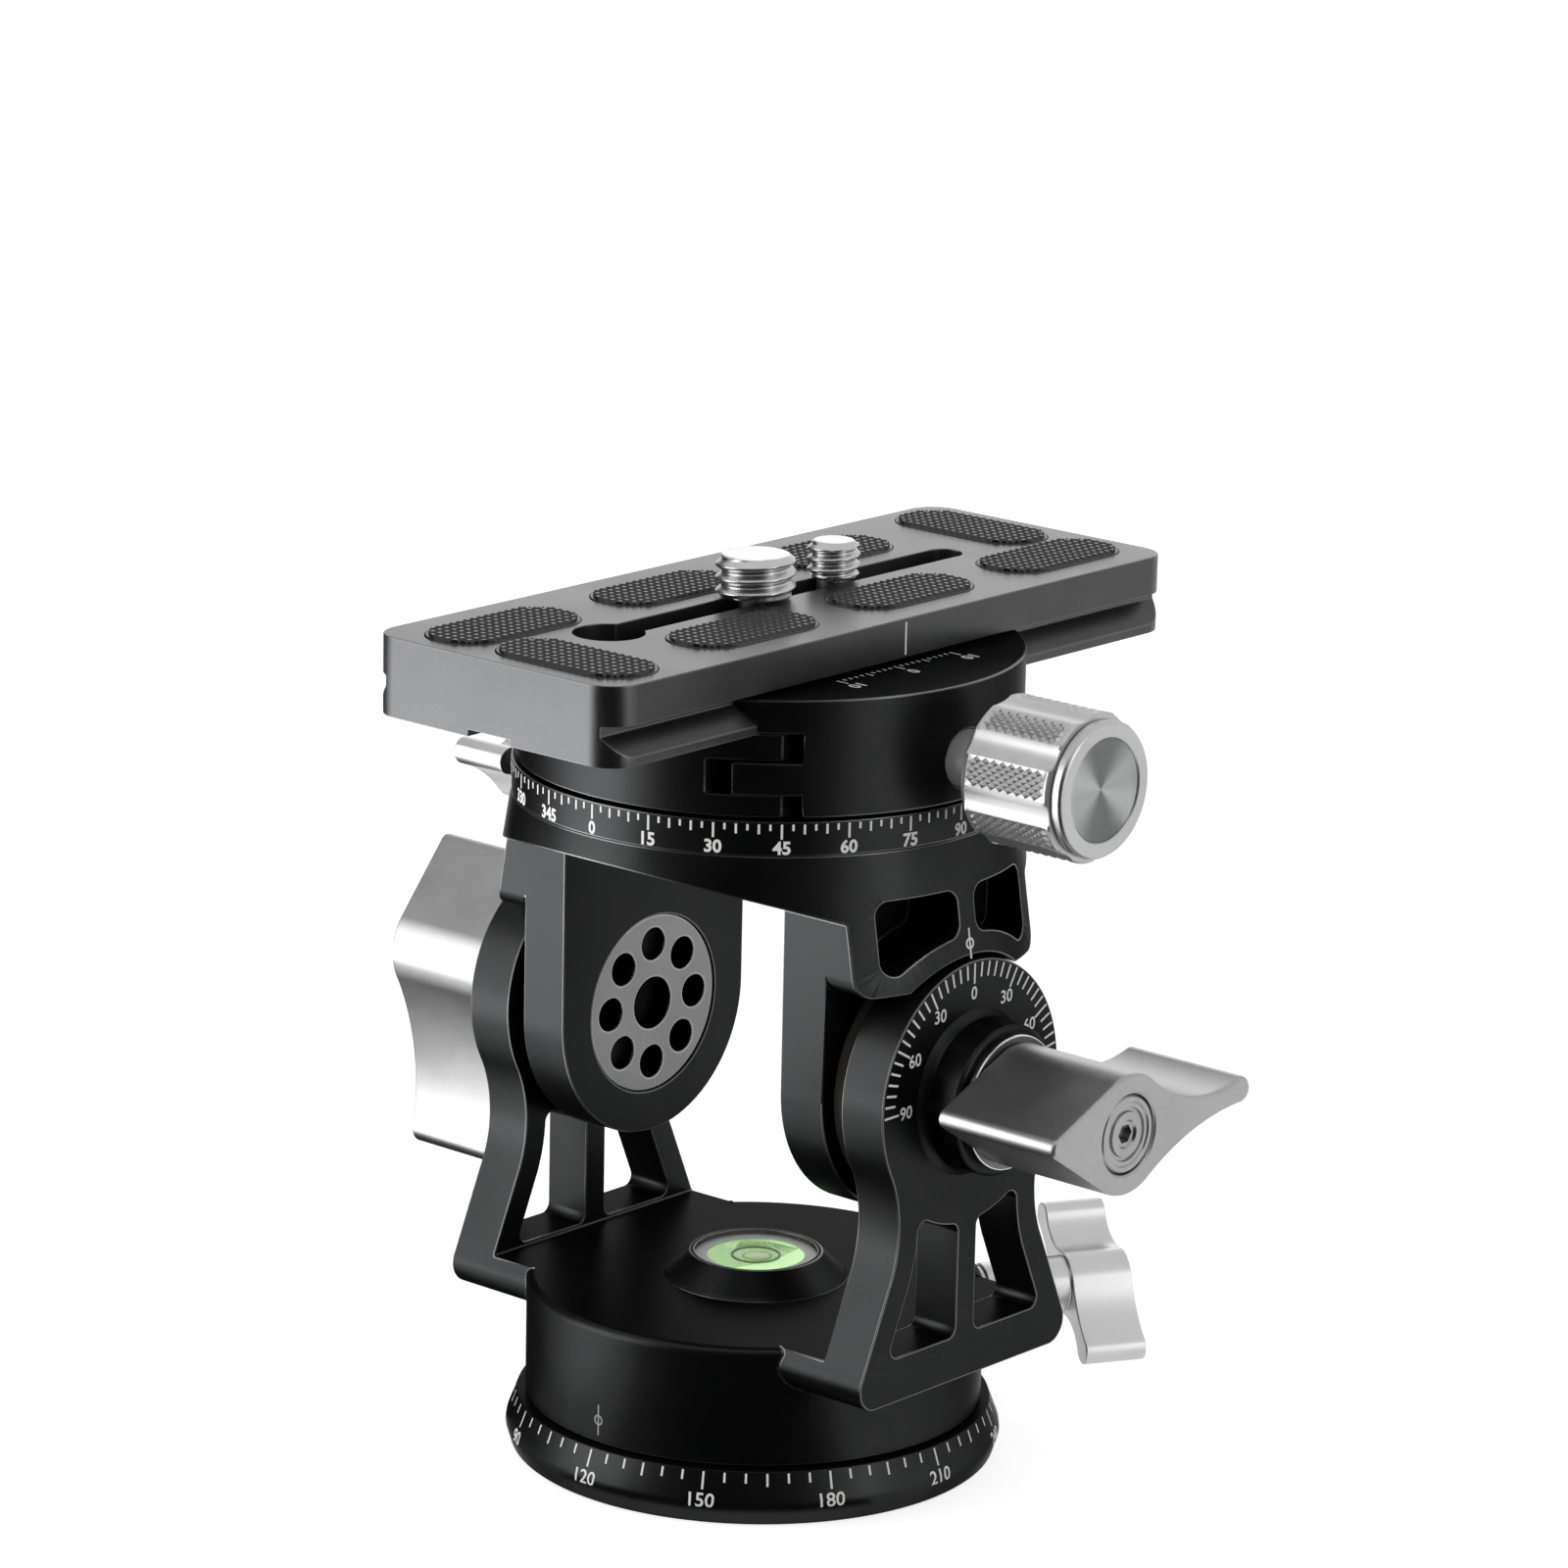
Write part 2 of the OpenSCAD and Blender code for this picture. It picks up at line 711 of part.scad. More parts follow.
// Winged lever with its stud hole along X, the wings start at x0
module winged_lever(x0, stem, stud, turn, z) {
    translate([0, 0, z]) difference() {
        union() {
            along_x(x0, x0 + wing_w) rotate(turn) for (s = [0, 180]) rotate(s) {
                limb([0, 0], wing_hub, [wing_len, wing_shift], wing_tip, wing_hollow, wing_flat);
            }
            bar_x(x0 - stem, x0 + 1, wing_stem, 0, 0);
        }
        bar_x(x0 - stem - 1, x0 + wing_w - wing_cover, stud, 0, 0);
    }
}

module base_lock_lever() {
    x0 = housing_r + base_lock_reach;
    color([0.75, 0.75, 0.76]) at_base_lock() {
        winged_lever(x0, base_lock_reach - base_stem_gap, base_stud_r, base_wing_turn, base_lock_z);
    }
}

module base_lock_stud() {
    x0 = base_shoe_x + shoe_l + 0.1;
    x1 = housing_r + base_lock_reach + wing_w - wing_cover;
    color([0.8, 0.8, 0.82]) at_base_lock() bar_x(x0, x1, base_stud_r, 0, base_lock_z);
}

module base_lock_shoe() {
    color([0.72, 0.58, 0.28]) at_base_lock() {
        bar_x(base_shoe_x, base_shoe_x + shoe_l, base_stud_r, 0, base_lock_z);
    }
}

// Collar on an arm, with its flared root
module collar(l) {
    color([0.07, 0.07, 0.08]) translate([arm_out, 0, axis_z]) rotate([0, 90, 0]) difference() {
        rotate_extrude() polygon([
            [0, 0], [collar_r + collar_flare, 0], [collar_r + 0.4 * collar_flare, 0.4 * collar_flare],
            [collar_r, collar_flare], [collar_r, l - 0.4], [collar_r - 0.4, l], [0, l]
        ]);
        bar_z(-1, l + 1, stud_r + run_fit);
    }
}

module lock_collar() {
    collar(collar_l);
}

module drag_collar() {
    mirror([1, 0, 0]) collar(collar_l - drag_in);
}

module liner() {
    color([0.3, 0.3, 0.31]) ring_along_x(arm_in - brake_t, arm_in, brake_r - 1, axle_r + seam);
}

module lock_liner() {
    liner();
}

module drag_liner() {
    mirror([1, 0, 0]) liner();
}

// Outline of a big lever: nose towards -X, tail towards +X
module lever_outline(tail) {
    taper([0, 0], lever_hub, [-lever_nose, lever_nose_shift], lever_nose_r);
    limb([0, 0], lever_hub, [tail, lever_tail_shift], lever_tail_r, lever_hollow, lever_flat);
}

// Big lever on the +X side, its tail turned from +Y
module big_lever(tail, turn) {
    color([0.6, 0.6, 0.61]) difference() {
        along_x(lever_x, lever_end) translate([0, axis_z]) rotate(turn) lever_outline(tail);
        bar_x(cap_x, lever_end + 1, cap_r + 0.1, 0, axis_z);
        bar_x(lever_x - 1, lever_end, stud_r, 0, axis_z);
    }
}

module thin_ring() {
    color([0.8, 0.8, 0.82]) ring_along_x(ring_x, lever_x, ring_r, stud_r);
}

module stud(end) {
    color([0.8, 0.8, 0.82]) bar_x(stud_tip, end, stud_r, 0, axis_z);
}

module cap() {
    color([0.82, 0.82, 0.83]) difference() {
        bar_x(cap_x, cap_x + cap_t, cap_r, 0, axis_z);
        ring_along_x(cap_x + cap_t - 0.35, cap_x + cap_t + 1, cap_r - 1.5, cap_r - 1.9);
        translate([cap_x + 0.3, 0, axis_z]) rotate([0, 90, 0]) cylinder(h = cap_t, r = cap_socket, $fn = 6);
    }
}

module lock_lever() {
    big_lever(lock_tail, 0);
}

module lock_ring() {
    thin_ring();
}

module lock_stud() {
    stud(cap_x);
}

module lock_cap() {
    cap();
}

// Places a piece of the +X side on the friction side
module at_drag() {
    translate([drag_in, 0, 0]) mirror([1, 0, 0]) children();
}

module drag_lever() {
    at_drag() big_lever(drag_tail, -90 - drag_lean);
}

module drag_ring() {
    at_drag() thin_ring();
}

module drag_stud() {
    mirror([1, 0, 0]) stud(cap_x - drag_in);
}

module drag_cap() {
    at_drag() cap();
}

// Skirt in Y and Z: flat lower edge with round corners, open for the dial disc
module skirt_outline() {
    w = bracket_half - skirt_round;
    difference() {
        union() {
            translate([-bracket_half, skirt_z + skirt_round]) {
                square([2 * bracket_half, deck_z - skirt_z - skirt_round]);
            }
            translate([-w, skirt_z]) square([2 * w, deck_z - skirt_z]);
            for (s = [-1, 1]) translate([s * w, skirt_z + skirt_round]) circle(skirt_round);
        }
        translate([0, axis_z]) circle(skirt_r);
    }
}

// Pocket of a skirt, on the +Y side
module pocket_outline() {
    offset(r = pocket_round) offset(delta = -pocket_round) difference() {
        translate([pocket_web, skirt_z]) square([pocket_half - pocket_web, axis_z + pocket_top - skirt_z]);
        translate([0, axis_z]) circle(skirt_r + pocket_rim);
    }
}

// Deck in Y and Z: flat ceiling, sloping up to the eaves
module deck_outline() {
    slope = eave_rise / (deck_r - bracket_half);
    x1 = deck_r + deck_flare * deck_t + 1;
    z1 = ceiling_z + slope * (x1 - bracket_half);
    polygon([
        [-bracket_half, ceiling_z], [bracket_half, ceiling_z], [x1, z1], [x1, deck_z], [-x1, deck_z], [-x1, z1]
    ]);
}

module inner_arm_outline() {
    translate([0, axis_z]) circle(bracket_half);
    translate([-bracket_half, axis_z]) square([2 * bracket_half, ceiling_rise + 1]);
}

module bracket() {
    cone_h = deck_z - axis_z;
    hollow_r = spider_ring + spider_hole + 0.2;
    color([0.09, 0.09, 0.1]) difference() {
        union() {
            intersection() {
                translate([0, 0, axis_z]) {
                    cylinder(h = cone_h, r1 = deck_r + deck_flare * cone_h, r2 = deck_r);
                }
                union() {
                    along_x(-far / 2, far / 2) deck_outline();
                    for (s = [0, 1]) mirror([s, 0, 0]) along_x(inner_x, far / 2) skirt_outline();
                }
            }
            for (s = [0, 1]) mirror([s, 0, 0]) along_x(inner_x, inner_out) inner_arm_outline();
            bar_z(deck_z - 1, boss_z, boss_r);
        }
        bar_z(ceiling_z - 1, boss_z + 1, spindle_r + run_fit);
        bar_z(ceiling_z - 1, spindle_low + 0.2, spindle_washer + seam);
        for (s = [0, 1]) mirror([s, 0, 0]) {
            bar_x(inner_x - 1, arm_out, axle_r, 0, axis_z);
            bar_x(inner_x - 1, inner_x + spider_t + 0.2, spider_r, 0, axis_z);
            bar_x(inner_x - 1, inner_x + spider_t + spider_hollow, hollow_r, 0, axis_z);
            for (t = [0, 1]) mirror([0, t, 0]) along_x(inner_out, far) pocket_outline();
        }
        at_pan_lock() bar_x(0, far, pan_stud_r + run_fit, 0, pan_lock_z);
    }
}

module spider() {
    x0 = inner_x + 0.2;
    color([0.42, 0.42, 0.43]) difference() {
        bar_x(x0, x0 + spider_t, spider_r, 0, axis_z);
        bar_x(x0 - 1, x0 + spider_t + 1, spider_bore, 0, axis_z);
        for (i = [1:spider_holes]) {
            p = spider_ring * ray(360 / spider_holes * i);
            bar_x(x0 - 1, x0 + spider_t + 1, spider_hole, p[0], axis_z + p[1]);
        }
    }
}

module lock_spider() {
    spider();
}

module drag_spider() {
    mirror([1, 0, 0]) spider();
}

module axle() {
    color([0.7, 0.7, 0.72]) ring_along_x(inner_x + spider_t + 0.2, axle_end, axle_r, stud_r + run_fit);
}

module lock_axle() {
    axle();
}

module drag_axle() {
    mirror([1, 0, 0]) axle();
}

module brake() {
    color([0.2, 0.2, 0.21]) ring_along_x(inner_out, inner_out + brake_t, brake_r, axle_r);
}

module lock_brake() {
    brake();
}

module drag_brake() {
    mirror([1, 0, 0]) brake();
}

module pan_scale() {
    color([0.11, 0.11, 0.12]) ring_z(deck_z, scale_z, deck_r, boss_r);
}

module pan_lock_lever() {
    x0 = deck_r + pan_lock_reach;
    color([0.75, 0.75, 0.76]) at_pan_lock() {
        winged_lever(x0, pan_lock_reach - pan_stem_gap, pan_stud_r, pan_lock_turn, pan_lock_z);
    }
}

module pan_lock_stud() {
    x0 = pan_shoe_x + shoe_l + 0.1;
    x1 = deck_r + pan_lock_reach + wing_w - wing_cover;
    color([0.8, 0.8, 0.82]) at_pan_lock() bar_x(x0, x1, pan_stud_r, 0, pan_lock_z);
}

module pan_lock_shoe() {
    color([0.72, 0.58, 0.28]) at_pan_lock() {
        bar_x(pan_shoe_x, pan_shoe_x + shoe_l, pan_stud_r, 0, pan_lock_z);
    }
}

module bearing_washer() {
    color([0.85, 0.85, 0.83]) ring_z(boss_z, clamp_z, boss_r - bearing_rim, spindle_r + bearing_bore);
}

module clamp_spindle() {
    color([0.7, 0.7, 0.72]) difference() {
        bar_z(spindle_low, clamp_z, spindle_r);
        bar_z(ceiling_z, clamp_z + 1, spindle_screw_r);
    }
}

module spindle_disc() {
    color([0.6, 0.6, 0.62]) ring_z(washer_low, spindle_low, spindle_washer, spindle_screw_r);
}

module spindle_screw() {
    color([0.3, 0.3, 0.32]) difference() {
        union() {
            bar_z(ceiling_z + 0.1, washer_low, spindle_head);
            bar_z(ceiling_z + 1, clamp_z, spindle_screw_r);
        }
        bar_z(ceiling_z - 1, washer_low - 0.5, spindle_socket, $fn = 6);
    }
}

// Side groove of the plate in X and Z, widened by the play, on the +X side
module groove_lip(play) {
    edge = plate_half + play;
    low = seat_z + flange_edge + play * 0.4;
    polygon([
        [edge, seat_z - 1], [edge, low], [lip_x, low + edge - lip_x], [lip_x, lip_z + 1], [0, lip_z + 1],
        [0, seat_z - 1]
    ]);
}

module clamp_body() {
    color([0.09, 0.09, 0.1]) difference() {
        bar_z(clamp_z, lip_z, clamp_r);
        along_y(2 * far) {
            difference() {
                mirror([1, 0]) groove_lip(jaw_fit);
                translate([-far, 0]) square([2 * far, seat_z]);
            }
            translate([-eps, seat_z]) square([far, far]);
            translate([split_x, 0]) square([far, 2 * far]);
            translate([tongue_in - tongue_gap, tongue_low - 0.1]) square([far, tongue_t + 0.2]);
        }
        bar_x(0, far, screw_tip_r + seam, 0, knob_axis_z);
        bar_x(tongue_in - tongue_gap - 1, far, screw_r + seam, 0, knob_axis_z);
        for (s = [-1, 1]) bar_x(guide_in, far, guide_r, s * guide_y, clamp_z + tongue_z);
    }
}

// Movable jaw in X and Z
module jaw_outline() {
    difference() {
        union() {
            translate([jaw_in, clamp_z + 0.2]) square([far, lip_z - clamp_z - 0.2]);
            translate([tongue_in, tongue_low]) square([far, tongue_t]);
            translate([lip_x, seat_z + 0.2]) square([far, lip_h - 0.2]);
        }
        groove_lip(jaw_fit);
    }
}

module jaw() {
    color([0.09, 0.09, 0.1]) difference() {
        intersection() {
            translate([jaw_shift, 0, 0]) bar_z(clamp_z, lip_z, clamp_r);
            along_y(2 * far) jaw_outline();
        }
        bar_x(0, far, screw_r + run_fit, 0, knob_axis_z);
        for (s = [-1, 1]) bar_x(0, jaw_in + 3, guide_r + run_fit, s * guide_y, clamp_z + tongue_z);
    }
}

module guide_pin(s) {
    color([0.8, 0.8, 0.82]) bar_x(guide_in, jaw_in + 2, guide_r, s * guide_y, clamp_z + tongue_z);
}

module guide_pin_a() {
    guide_pin(-1);
}

module guide_pin_b() {
    guide_pin(1);
}

module clamp_screw() {
    color([0.78, 0.78, 0.79]) {
        bar_x(tongue_in + 0.2, knob_x + 3, screw_r, 0, knob_axis_z);
        bar_x(2, tongue_in + 0.3, screw_tip_r, 0, knob_axis_z);
    }
}

module clamp_knob() {
    cut = 4.5;
    color([0.72, 0.72, 0.73]) translate([knob_x, 0, knob_axis_z]) rotate([0, 90, 0]) difference() {
        rotate_extrude() polygon([
            [0, 0], [knob_r - 0.8, 0], [knob_r, 0.8], [knob_r, knob_l - knob_flange - 0.4],
            [knob_r - 0.6, knob_l - knob_flange], [knob_r - 0.6, knob_l - 0.6], [knob_r - 1.2, knob_l], [0, knob_l]
        ]);
        for (i = [0:flutes - 1]) rotate(360 * (i + 0.5) / flutes) translate([knob_r - flute_d + cut, 0, -1]) {
            cylinder(h = knob_l - knob_flange + 1, r = cut);
        }
        bar_z(-1, 3, screw_r);
        bar_z(knob_l - 0.9, knob_l + 1, spun_r);
    }
}

module knob_disc() {
    color([0.8, 0.8, 0.8]) translate([knob_end - 0.9, 0, knob_axis_z]) rotate([0, 90, 0]) rotate_extrude() {
        polygon([[0, 0], [spun_r, 0], [spun_r, 0.7], [spun_r - 1, 0.4], [0, 0.2]]);
    }
}

// Plate in X and Z, seen along its length
module plate_outline() {
    h = plate_half - groove_d;
    right = [
        [plate_half, seat_z], [plate_half, seat_z + flange_edge], [h, seat_z + flange_edge + groove_d],
        [h, seat_z + groove_top], [plate_half, seat_z + groove_top], [plate_half, plate_z]
    ];
    polygon(concat(right, [for (i = [len(right) - 1:-1:0]) [-right[i][0], right[i][1]]]));
}

module pad_outline() {
    pill(pad_l, pad_w);
}

// Places of the pads: two rows along the plate, turned half round into each other
module at_pad(i) {
    row = [[-pad_row, -pad_outer], [-pad_row, -pad_inner], [-pad_row, pad_middle], [-pad_end_x, pad_end_y]];
    place = i < 4 ? row[i] : -row[7 - i];
    turn = place[0] == -pad_end_x || place[0] == pad_end_x ? 0 : 90;
    translate([place[0], plate_y + place[1], 0]) rotate(turn) children();
}

module plate() {
    slot_l = slot_end - keyhole_y;
    slot_mid = (slot_end + keyhole_y) / 2;
    color([0.1, 0.1, 0.11]) difference() {
        intersection() {
            translate([0, plate_y, 0]) along_y(plate_l) plate_outline();
            translate([0, plate_y, seat_z - 1]) linear_extrude(plate_t + 2) {
                round_rect(2 * plate_half, plate_l, plate_round);
            }
        }
        translate([0, plate_y, 0]) along_y(plate_l + 2) {
            translate([-keyway_w / 2, 0]) square([keyway_w, seat_z + keyway_d]);
        }
        translate([0, plate_y + slot_mid - slot_w / 4, seat_z - 1]) linear_extrude(plate_t + 2) {
            rotate(90) pill(slot_l + slot_w / 2, slot_w);
        }
        translate([0, plate_y + keyhole_y, seat_z - 1]) cylinder(h = plate_t + 2, r = keyhole_r);
        translate([0, plate_y + slot_mid, seat_z - 1]) linear_extrude(channel_d + 1) {
            rotate(90) pill(slot_l + channel_w, channel_w);
        }
        for (i = [0:7]) at_pad(i) translate([0, 0, plate_z - pad_seat]) {
            linear_extrude(pad_seat + 1) pad_outline();
        }
    }
}

module pad(i) {
    color([0.05, 0.05, 0.05]) at_pad(i) translate([0, 0, plate_z - pad_seat]) {
        linear_extrude(pad_seat + pad_lift) pad_outline();
    }
}

module pad_a() {
    pad(0);
}

module pad_b() {
    pad(1);
}

module pad_c() {
    pad(2);
}

module pad_d() {
    pad(3);
}

module pad_e() {
    pad(4);
}

module pad_f() {
    pad(5);
}

module pad_g() {
    pad(6);
}

module pad_h() {
    pad(7);
}

// Camera screw: head under the plate, neck in the slot, thread above it
module camera_screw(y, r, h) {
    color([0.8, 0.8, 0.82]) translate([0, plate_y + y, 0]) difference() {
        union() {
            bar_z(web_z - 0.1 - screw_head_t, web_z - 0.1, screw_head);
            bar_z(web_z - 1, plate_z + 1, screw_neck);
            bar_z(plate_z + seam, thread_z + eps, r - screw_relief);
            bar_z(thread_z, plate_z + h, r);
        }
        translate([-0.8, -far, web_z - 1.3 - screw_head_t]) cube([1.6, 2 * far, 2.2]);
    }
}

module large_screw() {
    camera_screw(large_y, large_r, large_h);
}

module small_screw() {
    camera_screw(small_y, small_r, small_h);
}

base_dial();
base_disc();
thread_bush();
base_screw_a();
base_screw_b();
base_screw_c();
base_spindle();
yoke();
pan_retainer();
bubble_cup();
bubble_fluid();
bubble_lens();
base_lock_lever();
base_lock_stud();
base_lock_shoe();
lock_collar();
drag_collar();
lock_liner();
drag_liner();
lock_lever();
lock_ring();
lock_stud();
lock_cap();
drag_lever();
drag_ring();
drag_stud();
drag_cap();
bracket();
lock_spider();
drag_spider();
lock_axle();
drag_axle();
lock_brake();
drag_brake();
pan_scale();
pan_lock_lever();
pan_lock_stud();
pan_lock_shoe();
bearing_washer();
clamp_spindle();
spindle_disc();
spindle_screw();
clamp_body();
jaw();
guide_pin_a();
guide_pin_b();
clamp_screw();
clamp_knob();
knob_disc();
plate();
pad_a();
pad_b();
pad_c();
pad_d();
pad_e();
pad_f();
pad_g();
pad_h();
large_screw();
small_screw();
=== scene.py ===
"""Two-way pan tilt head: finishes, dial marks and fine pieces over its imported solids.

Sizes are millimetres in the frame of the solids, and become metres when a mesh is written.
"""
import sys
import logging
import math
from dataclasses import dataclass
from enum import Enum
from typing import Callable, Iterable, Protocol, Sequence, Union

import bmesh
import bpy
from mathutils import Matrix, Vector


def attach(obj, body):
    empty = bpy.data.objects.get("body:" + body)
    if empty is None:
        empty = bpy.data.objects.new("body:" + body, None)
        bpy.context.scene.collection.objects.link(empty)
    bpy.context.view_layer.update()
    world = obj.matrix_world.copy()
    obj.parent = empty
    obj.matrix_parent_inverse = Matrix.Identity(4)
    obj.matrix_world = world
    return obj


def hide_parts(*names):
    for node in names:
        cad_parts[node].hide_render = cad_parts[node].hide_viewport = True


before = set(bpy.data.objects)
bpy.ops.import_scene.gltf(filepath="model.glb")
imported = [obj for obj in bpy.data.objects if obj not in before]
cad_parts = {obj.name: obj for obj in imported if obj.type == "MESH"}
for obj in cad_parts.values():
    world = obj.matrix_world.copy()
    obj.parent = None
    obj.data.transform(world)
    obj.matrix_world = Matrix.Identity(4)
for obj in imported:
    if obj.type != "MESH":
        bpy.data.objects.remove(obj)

LOG = logging.getLogger("pan_tilt_head")
MM = 0.001
THREAD_FLAT = 0.12

Point = tuple[float, float, float]
Flat = tuple[float, float]
Colour = tuple[float, float, float]
Reach = Callable[[float], float]
Row = tuple[float, Union[float, Reach]]
Socket, Tree = bpy.types.NodeSocket, bpy.types.NodeTree
Material, Object = bpy.types.Material, bpy.types.Object


class Body(str, Enum):
    """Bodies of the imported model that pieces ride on."""

    BASE = "base"
    YOKE = "yoke_body"
    TILT_LOCK = "tilt_lock"
    TILT_DRAG = "tilt_drag"
    BRACKET = "bracket_body"
    JAW = "jaw_body"
    KNOB = "knob"
    PLATE = "plate_body"
    LARGE_SCREW = "large_screw_body"
    SMALL_SCREW = "small_screw_body"


class Slot(str, Enum):
    """Material slots of the record, which fit takes for a new piece but does not use."""

    SILVER = "silver_blasted"
    STEEL = "steel"
    TURNED = "turned_aluminium"
    RUBBER = "rubber"
    FLUID = "fluid"


class Axis(Enum):
    """Axis that a turned piece is made round."""

    X = "X"
    Z = "Z"

    def join(self, along: float, first: float, second: float) -> Point:
        """Give a point from its place along the axis and its two other coordinates, in order."""
        return (along, first, second) if self is Axis.X else (first, second, along)

    def place(self, along: float, radius: float, angle: float, centre: Flat) -> Point:
        """Give a point from its distance along the axis and from it, its turn in radians and the centre."""
        first, second = centre[0] + radius * math.cos(angle), centre[1] + radius * math.sin(angle)
        return self.join(along, first, second)


# ---------------------------------------------------------------- finishes


class ShaderSheet:
    """Node sheet of one material: a surface shader and short calls for what feeds it."""

    NOISE_RANGE = (0.3, 0.7)
    RING_DETAIL = 3.0

    def __init__(self, name: str) -> None:
        """Make an empty material of this name with its shader and object coordinates."""
        self.material = bpy.data.materials.new(name)
        self.material.use_nodes = True
        self.tree = self.material.node_tree
        self.tree.nodes.clear()
        self.shader = self.add("ShaderNodeBsdfPrincipled")
        self.output = self.add("ShaderNodeOutputMaterial")
        self.link(self.shader.outputs["BSDF"], self.output.inputs["Surface"])
        self.place = self.add("ShaderNodeTexCoord").outputs["Object"]

    def add(self, kind: str, **settings: object) -> bpy.types.Node:
        """Add a node and set its properties.

        Args:
            kind: Blender's name of the node type.
            settings: Property names and values of the node.

        Returns:
            The new node.
        """
        node = self.tree.nodes.new(kind)
        for key, value in settings.items():
            setattr(node, key, value)
        return node

    def link(self, source: Socket, target: Socket) -> None:
        """Join an output to an input."""
        self.tree.links.new(source, target)

    def fix(self, values: dict[str, object]) -> None:
        """Set constants on the shader's own sockets."""
        for key, value in values.items():
            self.shader.inputs[key].default_value = value

    def feed(self, key: str, source: Socket) -> None:
        """Join an output to a socket of the shader."""
        self.link(source, self.shader.inputs[key])

    def noise(self, grain: float, detail: float = 2.0, stretch: Point = (1, 1, 1)) -> Socket:
        """Add noise in object space.

        Args:
            grain: Size of a grain in millimetres.
            detail: Number of finer layers.
            stretch: Scale of the coordinates on each axis.

        Returns:
            The noise value, mostly between 0.3 and 0.7.
        """
        node = self.add("ShaderNodeTexNoise")
        node.inputs["Scale"].default_value = 1 / (grain * MM)
        node.inputs["Detail"].default_value = detail
        place = self.place
        if stretch != (1, 1, 1):
            scale = self.add("ShaderNodeMapping")
            scale.inputs["Scale"].default_value = stretch
            self.link(place, scale.inputs["Vector"])
            place = scale.outputs["Vector"]
        self.link(place, node.inputs["Vector"])
        return node.outputs["Fac"]

    def from_axis(self, axis: Axis, centre: Flat) -> Socket:
        """Add the place seen from an axis, square to it.

        Args:
            axis: The axis.
            centre: The axis in its two other coordinates, in millimetres.

        Returns:
            The vector from the axis.
        """
        shift = self.add("ShaderNodeMapping")
        shift.inputs["Location"].default_value = axis.join(0, -centre[0] * MM, -centre[1] * MM)
        shift.inputs["Scale"].default_value = axis.join(0, 1, 1)
        self.link(self.place, shift.inputs["Vector"])
        return shift.outputs["Vector"]

    def distance(self, axis: Axis, centre: Flat) -> Socket:
        """Add the distance from an axis.

        Args:
            axis: The axis.
            centre: The axis in its two other coordinates, in millimetres.

        Returns:
            The distance in metres.
        """
        length = self.add("ShaderNodeVectorMath", operation="LENGTH")
        self.link(self.from_axis(axis, centre), length.inputs[0])
        return length.outputs["Value"]

    def rings(self, axis: Axis, centre: Flat, pitch: float) -> Socket:
        """Add noise that changes only with the distance from an axis, like a turning tool's marks.

        Args:
            axis: Axis of the rings.
            centre: The axis in its two other coordinates, in millimetres.
            pitch: Width of a ring in millimetres.

        Returns:
            The noise value.
        """
        node = self.add("ShaderNodeTexNoise", noise_dimensions="1D")
        node.inputs["Scale"].default_value = 1 / (pitch * MM)
        node.inputs["Detail"].default_value = self.RING_DETAIL
        self.link(self.distance(axis, centre), node.inputs["W"])
        return node.outputs["Fac"]

    def painted_hourglass(self, axis: Axis, centre: Flat) -> Socket:
        """Add a painted hourglass highlight of a spun face: 1 along Y and 0 across it.

        Args:
            axis: Axis of the face.
            centre: The axis in its two other coordinates, in millimetres.

        Returns:
            The value.
        """
        unit = self.add("ShaderNodeVectorMath", operation="NORMALIZE")
        self.link(self.from_axis(axis, centre), unit.inputs[0])
        parts = self.add("ShaderNodeSeparateXYZ")
        self.link(unit.outputs["Vector"], parts.inputs["Vector"])
        square = self.add("ShaderNodeMath", operation="MULTIPLY")
        self.link(parts.outputs["Y"], square.inputs[0])
        self.link(parts.outputs["Y"], square.inputs[1])
        return square.outputs["Value"]

    def blend(self, first: Socket, second: Socket, share: float) -> Socket:
        """Mix two values.

        Args:
            first: Value that has what is left of the share.
            second: Value that has the share.
            share: Weight of the second value.

        Returns:
            The mixed value.
        """
        node = self.add("ShaderNodeMix", data_type="FLOAT")
        node.inputs[0].default_value = share
        self.link(first, node.inputs[2])
        self.link(second, node.inputs[3])
        return node.outputs[0]

    def ramp(self, value: Socket, stops: Sequence[tuple[float, Colour]]) -> Socket:
        """Turn a value into a colour.

        Args:
            value: Value from 0 to 1.
            stops: Places on the ramp and their colours, at least two.

        Returns:
            The colour.
        """
        node = self.add("ShaderNodeValToRGB")
        while len(node.color_ramp.elements) < len(stops):
            node.color_ramp.elements.new(0.5)
        for element, (where, colour) in zip(node.color_ramp.elements, stops):
            element.position = where
            element.color = (*colour, 1)
        self.link(value, node.inputs["Fac"])
        return node.outputs["Color"]

    def span(self, value: Socket, low: float, high: float) -> Socket:
        """Stretch the usual range of noise to the range from low to high.

        Args:
            value: Noise value.
            low: Result at the lower end of the usual range.
            high: Result at its upper end.

        Returns:
            The stretched value.
        """
        node = self.add("ShaderNodeMapRange")
        for key, setting in zip(("From Min", "From Max", "To Min", "To Max"), (*self.NOISE_RANGE, low, high)):
            node.inputs[key].default_value = setting
        self.link(value, node.inputs["Value"])
        return node.outputs["Result"]

    def bump(self, height: Socket, strength: float, depth: float) -> None:
        """Roughen the surface.

        Args:
            height: Height from 0 to 1.
            strength: Share of the effect.
            depth: Height of the relief in millimetres.
        """
        node = self.add("ShaderNodeBump")
        node.inputs["Strength"].default_value = strength
        node.inputs["Distance"].default_value = depth * MM
        self.link(height, node.inputs["Height"])
        self.feed("Normal", node.outputs["Normal"])


class Finish(Protocol):
    """Anything that makes one material."""

    name: str

    def make(self) -> Material:
        """Make the material."""


